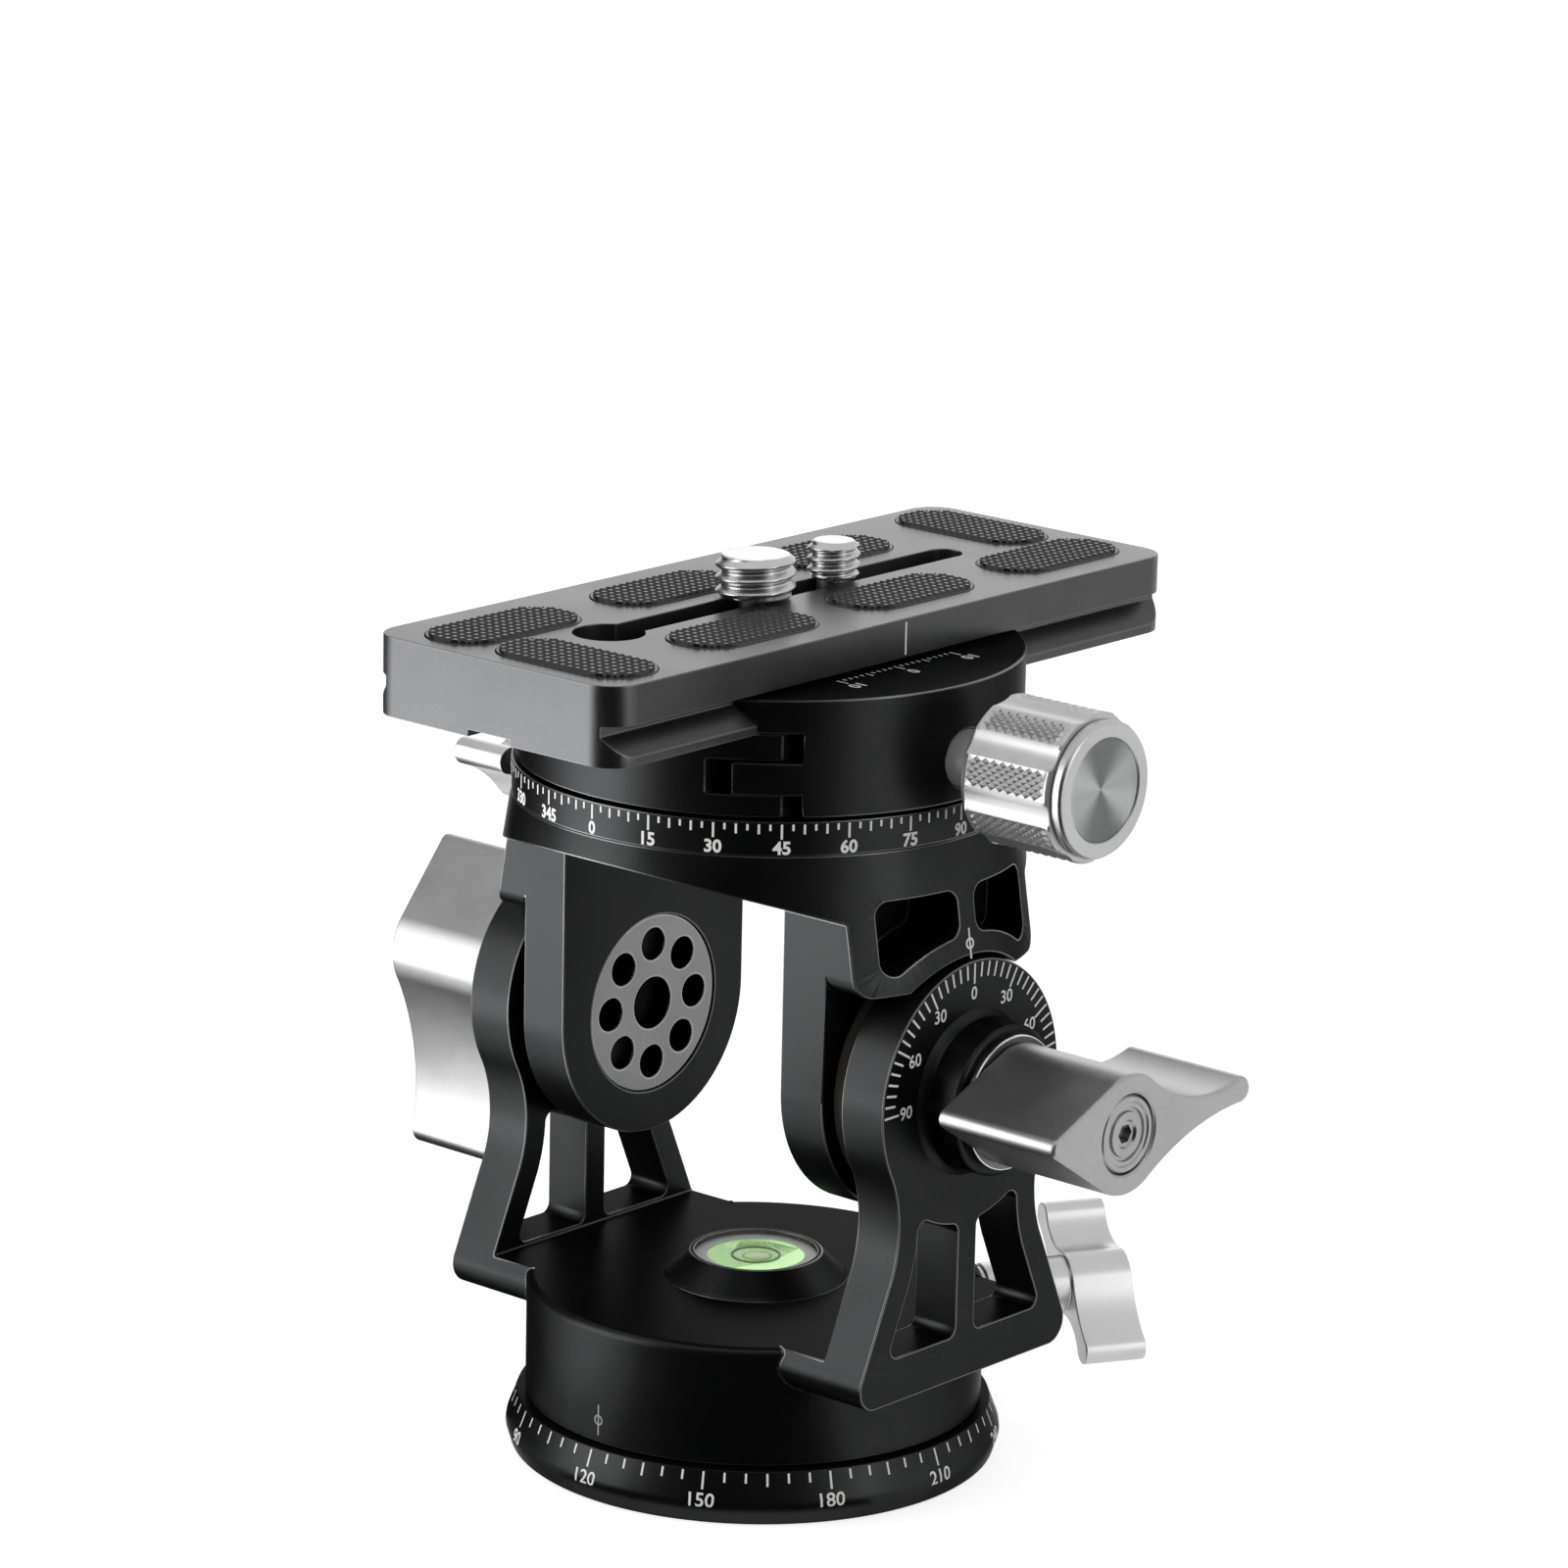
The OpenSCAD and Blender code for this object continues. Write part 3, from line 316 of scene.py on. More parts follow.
@dataclass(frozen=True)
class Coat:
    """Finish of two tones: a fine grain mixed with soft clouds sets its colour and gloss."""

    CLOUD_GRAINS = 24

    name: str
    dark: Colour
    light: Colour
    rough: Flat = (0.55, 0.75)
    grain: float = 0.25
    relief: float = 0.02
    specular: float = 0.5
    strength: float = 0.3
    metallic: float = 0.0
    rim: float = 1.0
    stretch: Point = (1.0, 1.0, 1.0)
    detail: float = 3.0
    cloud: float = 0.0
    cloud_detail: float = 2.0
    cloud_share: float = 0.4
    tones: Flat = (0.3, 0.7)

    def make(self) -> Material:
        """Make the material."""
        sheet = ShaderSheet(self.name)
        fine = sheet.noise(self.grain, self.detail, self.stretch)
        cloud = sheet.noise(self.cloud or self.CLOUD_GRAINS * self.grain, self.cloud_detail)
        mixed = sheet.blend(fine, cloud, self.cloud_share)
        sheet.feed("Base Color", sheet.ramp(mixed, tuple(zip(self.tones, (self.dark, self.light)))))
        sheet.feed("Roughness", sheet.span(mixed, *self.rough))
        sheet.fix({"Metallic": self.metallic, "Specular IOR Level": self.specular,
                   "Specular Tint": (self.rim, self.rim, self.rim, 1)})
        sheet.bump(fine, self.strength, self.relief)
        return sheet.material


@dataclass(frozen=True)
class BlastedMetal(Coat):
    """Blasted and anodised aluminium: a fine even grain and a faint cloudiness."""

    rough: Flat = (0.38, 0.48)
    grain: float = 0.14
    strength: float = 0.25
    metallic: float = 0.9
    detail: float = 2.0
    cloud: float = 9.0
    cloud_detail: float = 3.0
    tones: Flat = (0.32, 0.68)


@dataclass(frozen=True)
class PolishedMetal(Coat):
    """Bright cut aluminium or stainless steel, with faint streaks where the grain is stretched."""

    rough: Flat = (0.16, 0.28)
    grain: float = 0.3
    relief: float = 0.006
    strength: float = 0.15
    metallic: float = 1.0
    cloud: float = 2.5


@dataclass(frozen=True)
class Moulded(Coat):
    """Matt moulded stuff, such as rubber, a friction lining or a plastic washer."""

    specular: float = 0.4
    cloud_share: float = 0.5


@dataclass(frozen=True)
class TurnedMetal:
    """Bare metal from a lathe: fine rings round an axis and gloss that is drawn out across them, with an
    optional painted hourglass highlight in its colour.
    """

    name: str
    dark: Colour
    light: Colour
    axis: Axis
    centre: Flat = (0.0, 0.0)
    pitch: float = 0.09
    rough: Flat = (0.2, 0.32)
    drawn: float = 0.6
    relief: float = 0.004
    strength: float = 0.3
    # Share of the painted hourglass highlight in the colour, none at 0.
    painted_hourglass: float = 0.0
    cloud: float = 3.0
    cloud_share: float = 0.25
    tones: Flat = (0.3, 0.7)

    def make(self) -> Material:
        """Make the material."""
        sheet = ShaderSheet(self.name)
        rings = sheet.rings(self.axis, self.centre, self.pitch)
        mixed = sheet.blend(rings, sheet.noise(self.cloud), self.cloud_share)
        # Where a share is set, a painted hourglass highlight: the colour is lighter along Y and darker across
        # it, round the axis.
        tone = sheet.blend(mixed, sheet.painted_hourglass(self.axis, self.centre), self.painted_hourglass) if self.painted_hourglass else mixed
        sheet.feed("Base Color", sheet.ramp(tone, tuple(zip(self.tones, (self.dark, self.light)))))
        sheet.feed("Roughness", sheet.span(mixed, *self.rough))
        sheet.fix({"Metallic": 1.0, "Anisotropic": self.drawn, "Anisotropic Rotation": 0.25})
        tangent = sheet.add("ShaderNodeTangent", direction_type="RADIAL", axis=self.axis.value)
        sheet.feed("Tangent", tangent.outputs["Tangent"])
        sheet.bump(rings, self.strength, self.relief)
        return sheet.material


@dataclass(frozen=True)
class LevelFluid:
    """Bright fluid of the bubble level, paler towards the rim of its vial, with a painted glow that brightens
    it though it is no lamp.
    """

    name: str
    deep: Colour
    pale: Colour
    reach: float
    rough: Flat = (0.12, 0.2)
    cloud: float = 2.0
    pale_from: float = 0.2
    # Strength of the painted glow: the fluid shines with its own colour though it is no lamp.
    glow: float = 0.6

    def make(self) -> Material:
        """Make the material."""
        sheet = ShaderSheet(self.name)
        spread = sheet.add("ShaderNodeMapRange")
        spread.inputs["From Max"].default_value = self.reach * MM
        sheet.link(sheet.distance(Axis.Z, (0, 0)), spread.inputs["Value"])
        colour = sheet.ramp(spread.outputs["Result"], ((self.pale_from, self.deep), (1.0, self.pale)))
        sheet.feed("Base Color", colour)
        sheet.feed("Emission Color", colour)
        sheet.feed("Roughness", sheet.span(sheet.noise(self.cloud), *self.rough))
        # Painted light: a glow in the fluid's own colour brightens it.
        sheet.fix({"Emission Strength": self.glow})
        return sheet.material


@dataclass(frozen=True)
class ClearLens:
    """Clear acrylic with a hard gloss."""

    name: str
    tint: Colour
    alpha: float = 0.05
    bend: float = 1.49
    rough: Flat = (0.03, 0.08)
    cloud: float = 1.5
    paler: float = 1.06

    def make(self) -> Material:
        """Make the material."""
        sheet = ShaderSheet(self.name)
        cloud = sheet.noise(self.cloud)
        pale = tuple(min(1.0, value * self.paler) for value in self.tint)
        sheet.feed("Base Color", sheet.ramp(cloud, tuple(zip(sheet.NOISE_RANGE, (self.tint, pale)))))
        sheet.feed("Roughness", sheet.span(cloud, *self.rough))
        sheet.fix({"Alpha": self.alpha, "IOR": self.bend})
        return sheet.material


class Finishes:
    """Finishes of the head's pieces."""

    BLACK = BlastedMetal("black blasted coat", (0.017, 0.0173, 0.0178), (0.028, 0.0284, 0.029), (0.3, 0.4),
                         rim=0.35)
    # Painted highlight: the bevels of the black parts take this lighter copy of the black coat, so their
    # edges show as light lines.
    BLACK_EDGE_HIGHLIGHT = BlastedMetal("black coat, painted edge highlight", (0.09, 0.09, 0.092), (0.13, 0.13, 0.132),
                              (0.26, 0.36))
    # Painted highlight: the plate's bevels take this lighter copy of its coat, so its edges show as light
    # lines.
    PLATE_EDGE_HIGHLIGHT = BlastedMetal("plate coat, painted edge highlight", (0.085, 0.085, 0.086), (0.12, 0.12, 0.122),
                            (0.3, 0.4))
    # Painted light: the plate takes this lighter copy of the black coat, which makes its broad top faces look
    # brighter lit than the rest.
    BLACK_PAINTED_LIGHTER = BlastedMetal("black blasted coat, painted lighter", (0.052, 0.0525, 0.0536), (0.078, 0.0785, 0.08),
                             (0.3, 0.4), grain=0.17, strength=0.35)
    # Painted shade: the axles in their bores and the lever studs take a colour darker than the black coat,
    # for the shade they sit in.
    AXLE = BlastedMetal("axle and stud, painted shade", (0.008, 0.008, 0.0082), (0.014, 0.014, 0.0143), (0.5, 0.6), rim=0.2)
    SILVER = BlastedMetal("silver blasted coat", (0.3, 0.3, 0.303), (0.4, 0.4, 0.403), (0.32, 0.42),
                          metallic=1.0)
    WING = BlastedMetal("silver blasted coat, bright", (0.48, 0.48, 0.483), (0.58, 0.58, 0.583), (0.3, 0.4),
                        metallic=1.0)
    INSERT = BlastedMetal("grey satin insert", (0.15, 0.15, 0.152), (0.22, 0.22, 0.222), (0.22, 0.32),
                          metallic=1.0)
    INSERT_EDGE = PolishedMetal("insert's cut edge", (0.22, 0.22, 0.223), (0.32, 0.32, 0.323))
    # Painted shade: the thin turned ring is written dark for the shade of the lever over it; its bevel keeps
    # a bright polished finish, which shows as a light line.
    RING = TurnedMetal("thin turned ring, painted shade", (0.1, 0.1, 0.102), (0.16, 0.16, 0.162), Axis.X, (0.0, 51.3))
    RING_EDGE = PolishedMetal("thin ring's bright edge", (0.6, 0.6, 0.605), (0.72, 0.72, 0.725), (0.18, 0.26))
    CAP = TurnedMetal("turned lever cap", (0.26, 0.26, 0.263), (0.4, 0.4, 0.403), Axis.X, (0.0, 51.3),
                      drawn=0.7)
    # The spun disc carries a painted hourglass highlight: its colour is lighter along Y than across it, round
    # the knob's axis.
    SPUN = TurnedMetal("spun knob disc", (0.17, 0.174, 0.172), (0.44, 0.445, 0.443), Axis.X, (0.0, 90.8),
                       pitch=0.07, rough=(0.4, 0.5), drawn=0.95, painted_hourglass=0.55)
    KNOB = PolishedMetal("bright cut knob", (0.4, 0.4, 0.403), (0.52, 0.52, 0.523), (0.28, 0.38),
                         stretch=(1.0, 6.0, 6.0), metallic=0.75)
    KNOB_FLANGE = BlastedMetal("frosted knob flange", (0.4, 0.4, 0.403), (0.5, 0.5, 0.503), (0.3, 0.4),
                               metallic=1.0)
    STEEL = PolishedMetal("bright stainless steel", (0.43, 0.43, 0.433), (0.53, 0.53, 0.533), (0.24, 0.34),
                          stretch=(1.0, 1.0, 5.0))
    SCREW = PolishedMetal("satin clamp screw", (0.42, 0.42, 0.423), (0.54, 0.54, 0.543), (0.34, 0.44),
                          stretch=(1.0, 3.0, 3.0), metallic=0.45)
    BUSH = PolishedMetal("dark steel bush", (0.05, 0.05, 0.051), (0.08, 0.08, 0.081), (0.25, 0.38),
                         stretch=(1.0, 1.0, 4.0))
    BRONZE = PolishedMetal("bronze shoe", (0.48, 0.3, 0.12), (0.62, 0.42, 0.18), (0.3, 0.42))
    LINER = Moulded("friction lining", (0.035, 0.033, 0.031), (0.075, 0.07, 0.065), (0.7, 0.85), 0.4)
    RUBBER = Moulded("pad rubber", (0.005, 0.005, 0.005), (0.01, 0.01, 0.01), (0.3, 0.4), 0.12, 0.004, 0.4)
    PLASTIC = Moulded("bearing plastic", (0.7, 0.7, 0.68), (0.8, 0.8, 0.78), (0.35, 0.5), 0.6, 0.01)
    PAINT = Moulded("white scale paint", (0.74, 0.74, 0.73), (0.84, 0.84, 0.83), (0.45, 0.6), 0.15, 0.008)
    FAINT_PAINT = Moulded("worn scale paint", (0.26, 0.26, 0.26), (0.36, 0.36, 0.36), (0.5, 0.65),
                          0.15, 0.008)
    TARGET = Moulded("target ring ink", (0.01, 0.01, 0.01), (0.02, 0.02, 0.02), (0.4, 0.5), 0.2, 0.004)
    COLLAR = Moulded("grey level collar", (0.44, 0.45, 0.44), (0.54, 0.55, 0.54), (0.4, 0.5), 0.3, 0.006)
    BUBBLE = Moulded("air bubble", (0.4, 0.75, 0.2), (0.5, 0.82, 0.3), (0.2, 0.3), 0.8, 0.002)
    # The level fluid glows with painted light.
    FLUID = LevelFluid("level fluid", (0.25, 0.58, 0.13), (0.42, 0.74, 0.26), 7.4)
    LENS = ClearLens("clear level lens", (0.8, 0.9, 0.7))


class Paintbox:
    """Makes each finish once and hands out its material."""

    def __init__(self) -> None:
        """Start with no material made."""
        self.made: dict[str, Material] = {}

    def of(self, finish: Finish) -> Material:
        """Give a finish's material.

        Args:
            finish: One of the finishes.

        Returns:
            The material, made at the first call.
        """
        if finish.name not in self.made:
            self.made[finish.name] = finish.make()
        return self.made[finish.name]


# ---------------------------------------------------------------- meshes


def linked(name: str, data: bpy.types.ID) -> Object:
    """Make an object of this name from its data and put it in the scene.

    Args:
        name: Name of the object.
        data: Its mesh, lamp, curve or camera.

    Returns:
        The object.
    """
    made = bpy.data.objects.new(name, data)
    bpy.context.scene.collection.objects.link(made)
    return made


class Shell:
    """Points and faces of one piece in millimetres, until it becomes an object."""

    JOIN = 1e-7

    def __init__(self) -> None:
        """Start with nothing."""
        self.points: list[Point] = []
        self.faces: list[tuple[int, ...]] = []

    def loop(self, points: Iterable[Point]) -> list[int]:
        """Add points and give their numbers."""
        start = len(self.points)
        self.points.extend(points)
        return list(range(start, len(self.points)))

    def bridge(self, first: Sequence[int], second: Sequence[int]) -> None:
        """Join two closed loops of the same length by quads."""
        for i, here in enumerate(first):
            j = (i + 1) % len(first)
            self.faces.append((here, first[j], second[j], second[i]))

    def lathe(self, axis: Axis, centre: Flat, rows: Sequence[Row], angles: Sequence[float],
              ring: bool = False) -> list[list[int]]:
        """Add a turned form.

        Args:
            axis: Axis that it is turned round.
            centre: The axis in its two other coordinates.
            rows: Distance along the axis and radius of each row, in order.
            angles: Turns of the points of a row, in radians.
            ring: Whether the last row joins the first; otherwise both ends are closed.

        Returns:
            The numbers of the points, row by row.
        """
        loops = []
        for along, radius in rows:
            reach = radius if callable(radius) else (lambda angle, fixed=radius: fixed)
            loops.append(self.loop(axis.place(along, reach(angle), angle, centre) for angle in angles))
        for first, second in zip(loops, loops[1:]):
            self.bridge(first, second)
        if ring:
            self.bridge(loops[-1], loops[0])
        else:
            self.faces += [tuple(loops[0]), tuple(loops[-1])]
        return loops

    def solid(self, name: str, sharp: float) -> Object:
        """Make the object.

        Args:
            name: Name of the piece.
            sharp: Angle in degrees from which an edge stays sharp.

        Returns:
            The object, linked to the scene.
        """
        mesh = bpy.data.meshes.new(name)
        mesh.from_pydata([Vector(point) * MM for point in self.points], [], self.faces)
        work = bmesh.new()
        work.from_mesh(mesh)
        bmesh.ops.remove_doubles(work, verts=work.verts, dist=self.JOIN)
        bmesh.ops.recalc_face_normals(work, faces=work.faces)
        work.to_mesh(mesh)
        work.free()
        mesh.shade_smooth()
        mesh.set_sharp_from_angle(angle=math.radians(sharp))
        return linked(name, mesh)


def full_turn(count: int) -> list[float]:
    """Give count even turns round a circle, in radians."""
    return [2 * math.pi * i / count for i in range(count)]


def rectangle(width: float, height: float) -> list[Flat]:
    """Give the corners of a rectangle round the middle, counter-clockwise."""
    return [(x * width / 2, y * height / 2) for x, y in ((-1, -1), (1, -1), (1, 1), (-1, 1))]


def rim_faces(count: int) -> list[tuple[int, ...]]:
    """Give the quads between two loops of count points that are numbered one after the other."""
    return [(i, (i + 1) % count, count + (i + 1) % count, count + i) for i in range(count)]


def turned(point: Flat, turn: float, middle: Flat = (0.0, 0.0)) -> Flat:
    """Give a flat point turned clockwise by degrees and then moved to its middle."""
    angle = math.radians(turn)
    return (middle[0] + point[0] * math.cos(angle) + point[1] * math.sin(angle),
            middle[1] - point[0] * math.sin(angle) + point[1] * math.cos(angle))


def tick_size(sizes: Sequence[Flat], value: float) -> float:
    """Give the size that belongs to the first step in sizes which divides the value on the scale."""
    return next(size for step, size in sizes if value % step == 0)


@dataclass(frozen=True)
class FlatFace:
    """Flat face that marks lie on, with its own right and up."""

    origin: Point
    right: Point
    up: Point

    def creases(self) -> list[float]:
        """Give no bends, because the face is flat."""
        return []

    def point(self, right: float, up: float, lift: float) -> Point:
        """Give the point at this place on the face, lifted off it."""
        out = Vector(self.right).cross(Vector(self.up))
        return tuple(Vector(self.origin) + right * Vector(self.right) + up * Vector(self.up) + lift * out)


@dataclass(frozen=True)
class RoundBand:
    """Side of a round piece about Z that marks lie on, measured down its slope from the top edge."""

    slope: tuple[Flat, ...]
    angle: float = 0.0

    def turned(self, angle: float) -> "RoundBand":
        """Give the same band with its middle at another angle in degrees."""
        return RoundBand(self.slope, angle)

    def creases(self) -> list[float]:
        """Give the places, as negative distances down the slope, where its profile bends."""
        total, bends = 0.0, []
        for first, second in zip(self.slope, self.slope[1:-1]):
            total += math.dist(first, second)
            bends.append(-total)
        return bends

    def point(self, right: float, up: float, lift: float) -> Point:
        """Give the point at this place on the band, lifted off it."""
        left_over = -up
        runs = list(zip(self.slope, self.slope[1:]))
        for i, (first, second) in enumerate(runs):
            length = math.dist(first, second)
            if left_over <= length or i == len(runs) - 1:
                break
            left_over -= length
        share = left_over / length
        along = ((second[0] - first[0]) / length, (second[1] - first[1]) / length)
        radius = first[0] + share * (second[0] - first[0]) - along[1] * lift
        height = first[1] + share * (second[1] - first[1]) + along[0] * lift
        turn = math.radians(self.angle) + right / first[0]
        return (radius * math.cos(turn), radius * math.sin(turn), height)


Surface = Union[FlatFace, RoundBand]


class MarkSheet:
    """Painted marks of one dial: thin closed solids that follow the face below them."""

    SINK = 0.05
    LIFT = 0.015
    CUT = 1e-6
    JOIN = 1e-5
    RING_STEPS = 24
    DIGIT_STEPS = 3
    SHARP = 30
    PLAY = 0.02

    def __init__(self) -> None:
        """Start with no marks."""
        self.shell = Shell()

    def stamp(self, surface: Surface, points: Sequence[Flat], faces: Sequence[Sequence[int]]) -> None:
        """Add one mark.

        Args:
            surface: Face that it lies on.
            points: Its points on the face.
            faces: Its faces as numbers of points.
        """
        work = bmesh.new()
        corners = [work.verts.new((x, y, 0)) for x, y in points]
        for face in faces:
            work.faces.new([corners[i] for i in face])
        for bend in surface.creases():
            everything = [*work.verts, *work.edges, *work.faces]
            bmesh.ops.bisect_plane(work, geom=everything, dist=self.CUT, plane_co=(0, bend, 0),
                                   plane_no=(0, 1, 0))
        work.verts.index_update()
        places = [(corner.co.x, corner.co.y) for corner in work.verts]
        top = self.shell.loop(surface.point(x, y, self.LIFT) for x, y in places)
        low = self.shell.loop(surface.point(x, y, -self.SINK) for x, y in places)
        for face in work.faces:
            ring = [corner.index for corner in face.verts]
            self.shell.faces.append(tuple(top[i] for i in ring))
            self.shell.faces.append(tuple(low[i] for i in reversed(ring)))
        for edge in work.edges:
            if edge.is_boundary:
                i, j = (corner.index for corner in edge.verts)
                self.shell.faces.append((top[i], top[j], low[j], low[i]))
        work.free()

    def bar(self, surface: Surface, middle: Flat, width: float, height: float, turn: float = 0.0) -> None:
        """Add a bar.

        Args:
            surface: Face that it lies on.
            middle: Its middle.
            width: Its size to the right before it is turned.
            height: Its size upwards before it is turned.
            turn: Turn in degrees, clockwise.
        """
        points = [turned(corner, turn, middle) for corner in rectangle(width, height)]
        self.stamp(surface, points, [(0, 1, 2, 3)])

    def box(self, surface: Surface, middle: Flat, width: float, height: float, stroke: float,
            turn: float) -> None:
        """Add the outline of a rectangle.

        Args:
            surface: Face that it lies on.
            middle: Its middle.
            width: Its outer size to the right before it is turned.
            height: Its outer size upwards before it is turned.
            stroke: Width of its stroke.
            turn: Turn in degrees, clockwise.
        """
        corners = rectangle(width, height) + rectangle(width - 2 * stroke, height - 2 * stroke)
        points = [turned(corner, turn, middle) for corner in corners]
        self.stamp(surface, points, rim_faces(4))

    def ring(self, surface: Surface, middle: Flat, outer: float, inner: float) -> None:
        """Add a ring with its outer and inner radius."""
        points = [(middle[0] + radius * math.cos(angle), middle[1] + radius * math.sin(angle))
                  for radius in (outer, inner) for angle in full_turn(self.RING_STEPS)]
        self.stamp(surface, points, rim_faces(self.RING_STEPS))

    def index(self, surface: Surface, up: float, radius: float, length: float, stroke: float) -> None:
        """Add an index: a ring with a line through it and beyond.

        Args:
            surface: Face that it lies on.
            up: Height of its middle.
            radius: Outer radius of the ring.
            length: Length of the line.
            stroke: Width of the ring and the line.
        """
        self.ring(surface, (0, up), radius, radius - stroke)
        self.bar(surface, (0, up), stroke, 2 * (radius - stroke) - self.PLAY)
        end = length / 2 - radius
        for side in (-1, 1):
            self.bar(surface, (0, up + side * (radius + end / 2)), stroke, end)

    def number(self, surface: Surface, words: str, middle: Flat, height: float, heavy: float = 0.0,
               turn: float = 0.0) -> None:
        """Add a number of the scale.

        Args:
            surface: Face that it lies on.
            words: Its digits.
            middle: Its middle.
            height: Height of the digits.
            heavy: How far the strokes are thickened, in parts of the letter size.
            turn: Turn in degrees, clockwise.
        """
        curve = bpy.data.curves.new("digits", "FONT")
        curve.body = words
        curve.resolution_u = self.DIGIT_STEPS
        curve.offset = heavy
        letters = linked("digits", curve)
        mesh = bpy.data.meshes.new_from_object(letters.evaluated_get(bpy.context.evaluated_depsgraph_get()))
        work = bmesh.new()
        work.from_mesh(mesh)
        bmesh.ops.remove_doubles(work, verts=work.verts, dist=self.JOIN)
        work.verts.index_update()
        points = [(corner.co.x, corner.co.y) for corner in work.verts]
        faces = [[corner.index for corner in face.verts] for face in work.faces]
        work.free()
        bpy.data.objects.remove(letters)
        bpy.data.curves.remove(curve)
        bpy.data.meshes.remove(mesh)
        low = [min(values) for values in zip(*points)]
        high = [max(values) for values in zip(*points)]
        scale = height / (high[1] - low[1])
        mid_x, mid_y = (low[0] + high[0]) / 2, (low[1] + high[1]) / 2
        centred = [((x - mid_x) * scale, (y - mid_y) * scale) for x, y in points]
        self.stamp(surface, [turned(point, turn, middle) for point in centred], faces)

    def solid(self, name: str) -> Object:
        """Make the marks into one object of this name."""
        return self.shell.solid(name, self.SHARP)


# ---------------------------------------------------------------- dressing the solids


@dataclass(frozen=True)
class EdgeBreak:
    """Small bevel along the sharp edges of a solid, and smooth shading between them."""

    width: float
    steps: int = 2
    clamped: bool = True
    corner: float = 32.0
    smooth: float = 26.0
    weld: float = 1e-6
    flat: float = 0.3
    flat_weight: int = 80

    def shading(self) -> Tree:
        """Give the node group that shades faces smooth up to the smooth angle, made at the first call."""
        name = f"shade_to_{self.smooth:.0f}_degrees"
        if name in bpy.data.node_groups:
            return bpy.data.node_groups[name]
        tree = bpy.data.node_groups.new(name, "GeometryNodeTree")
        tree.interface.new_socket("Geometry", in_out="INPUT", socket_type="NodeSocketGeometry")
        tree.interface.new_socket("Geometry", in_out="OUTPUT", socket_type="NodeSocketGeometry")
        source, target = tree.nodes.new("NodeGroupInput"), tree.nodes.new("NodeGroupOutput")
        normal = tree.nodes.new("GeometryNodeSetMeshNormal")
        normal.mode = "SHARPNESS"
        normal.inputs["Remove Custom"].default_value = True
        angle = tree.nodes.new("GeometryNodeInputMeshEdgeAngle")
        compare = tree.nodes.new("FunctionNodeCompare")
        compare.inputs["B"].default_value = math.radians(self.smooth)
        tree.links.new(angle.outputs["Unsigned Angle"], compare.inputs["A"])
        tree.links.new(compare.outputs["Result"], normal.inputs["Edge Sharpness"])
        tree.links.new(source.outputs[0], normal.inputs["Mesh"])
        tree.links.new(normal.outputs[0], target.inputs[0])
        return tree

    def add(self, solid: Object, edge_slot: int) -> None:
        """Add the modifiers.

        Args:
            solid: Object of a CAD node.
            edge_slot: Number of the material slot that the bevel shows.
        """
        weld = solid.modifiers.new("join points", "WELD")
        weld.merge_threshold = self.weld
        flat = solid.modifiers.new("join flat faces", "DECIMATE")
        flat.decimate_type = "DISSOLVE"
        flat.angle_limit = math.radians(self.flat)
        if self.width > 0:
            bevel = solid.modifiers.new("break edges", "BEVEL")
            bevel.limit_method = "ANGLE"
            bevel.angle_limit = math.radians(self.corner)
            bevel.width = self.width * MM
            bevel.segments = self.steps
            bevel.use_clamp_overlap = self.clamped
            bevel.miter_outer = "MITER_ARC"
            bevel.material = edge_slot
        shade = solid.modifiers.new("shade by angle", "NODES")
        shade.node_group = self.shading()
        weight = solid.modifiers.new("flat faces first", "WEIGHTED_NORMAL")
        weight.keep_sharp = True
        weight.weight = self.flat_weight


@dataclass
class Assembly:
    """Sub-assembly of the head with the paintbox that it takes its materials from."""

    paint: Paintbox

    def build(self) -> None:
        """Make and dress the pieces."""
        raise NotImplementedError

    def dress(self, nodes: str, finish: Finish, edge: float = 0.0, edge_finish: Union[Finish, None] = None,
              steps: int = 2, clamped: bool = True) -> None:
        """Give CAD nodes their finish and broken edges.

        Args:
            nodes: Names of the nodes, with spaces between them.
            finish: Finish of the faces.
            edge: Width of the bevel, none at 0.
            edge_finish: Finish of the bevel, the faces' own where it is left out.
            steps: Number of facets across the bevel.
            clamped: Whether the bevel gives way to the shortest edges of the solid.
        """
        for node in nodes.split():
            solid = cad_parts[node]
            solid.material_slots[0].material = self.paint.of(finish)
            if edge_finish is not None:
                solid.data.materials.append(self.paint.of(edge_finish))
            EdgeBreak(edge, steps, clamped).add(solid, 1 if edge_finish is not None else 0)
            LOG.info("dressed %s with %s", node, finish.name)

    def fit(self, piece: Object, body: Body, finish: Finish, slot: Union[Slot, None] = None,
            stands_for: Sequence[str] = ()) -> None:
        """Put a new piece on its body.

        Args:
            piece: Object of the piece.
            body: Body that it rides on.
            finish: Finish of its first material slot.
            slot: Material slot of the record; not used.
            stands_for: CAD nodes that it is shown instead of.
        """
        piece.data.materials.append(self.paint.of(finish))
        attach(piece, body.value)
        if stands_for:
            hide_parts(*stands_for)
        LOG.info("made %s: %d faces on %s", piece.name, len(piece.data.polygons), body.value)


def thread_radius(pitch: float, root: float, crest: float, along: float) -> Reach:
    """Give the radius of a right-hand V thread at one height as a function of the turn.

    Args:
        pitch: Rise of one turn.
        root: Radius at the bottom of the thread.
        crest: Radius at its crest.
        along: Height of the row.

    Returns:
        A function from the turn in radians to the radius.
    """
    def radius(angle: float) -> float:
        """Give the radius at this turn."""
        phase = (along / pitch - angle / (2 * math.pi)) % 1
        rise = min(1.0, max(0.0, (abs(phase - 0.5) * 2 - THREAD_FLAT) / (1 - 2 * THREAD_FLAT)))
        return root + (crest - root) * rise
    return radius


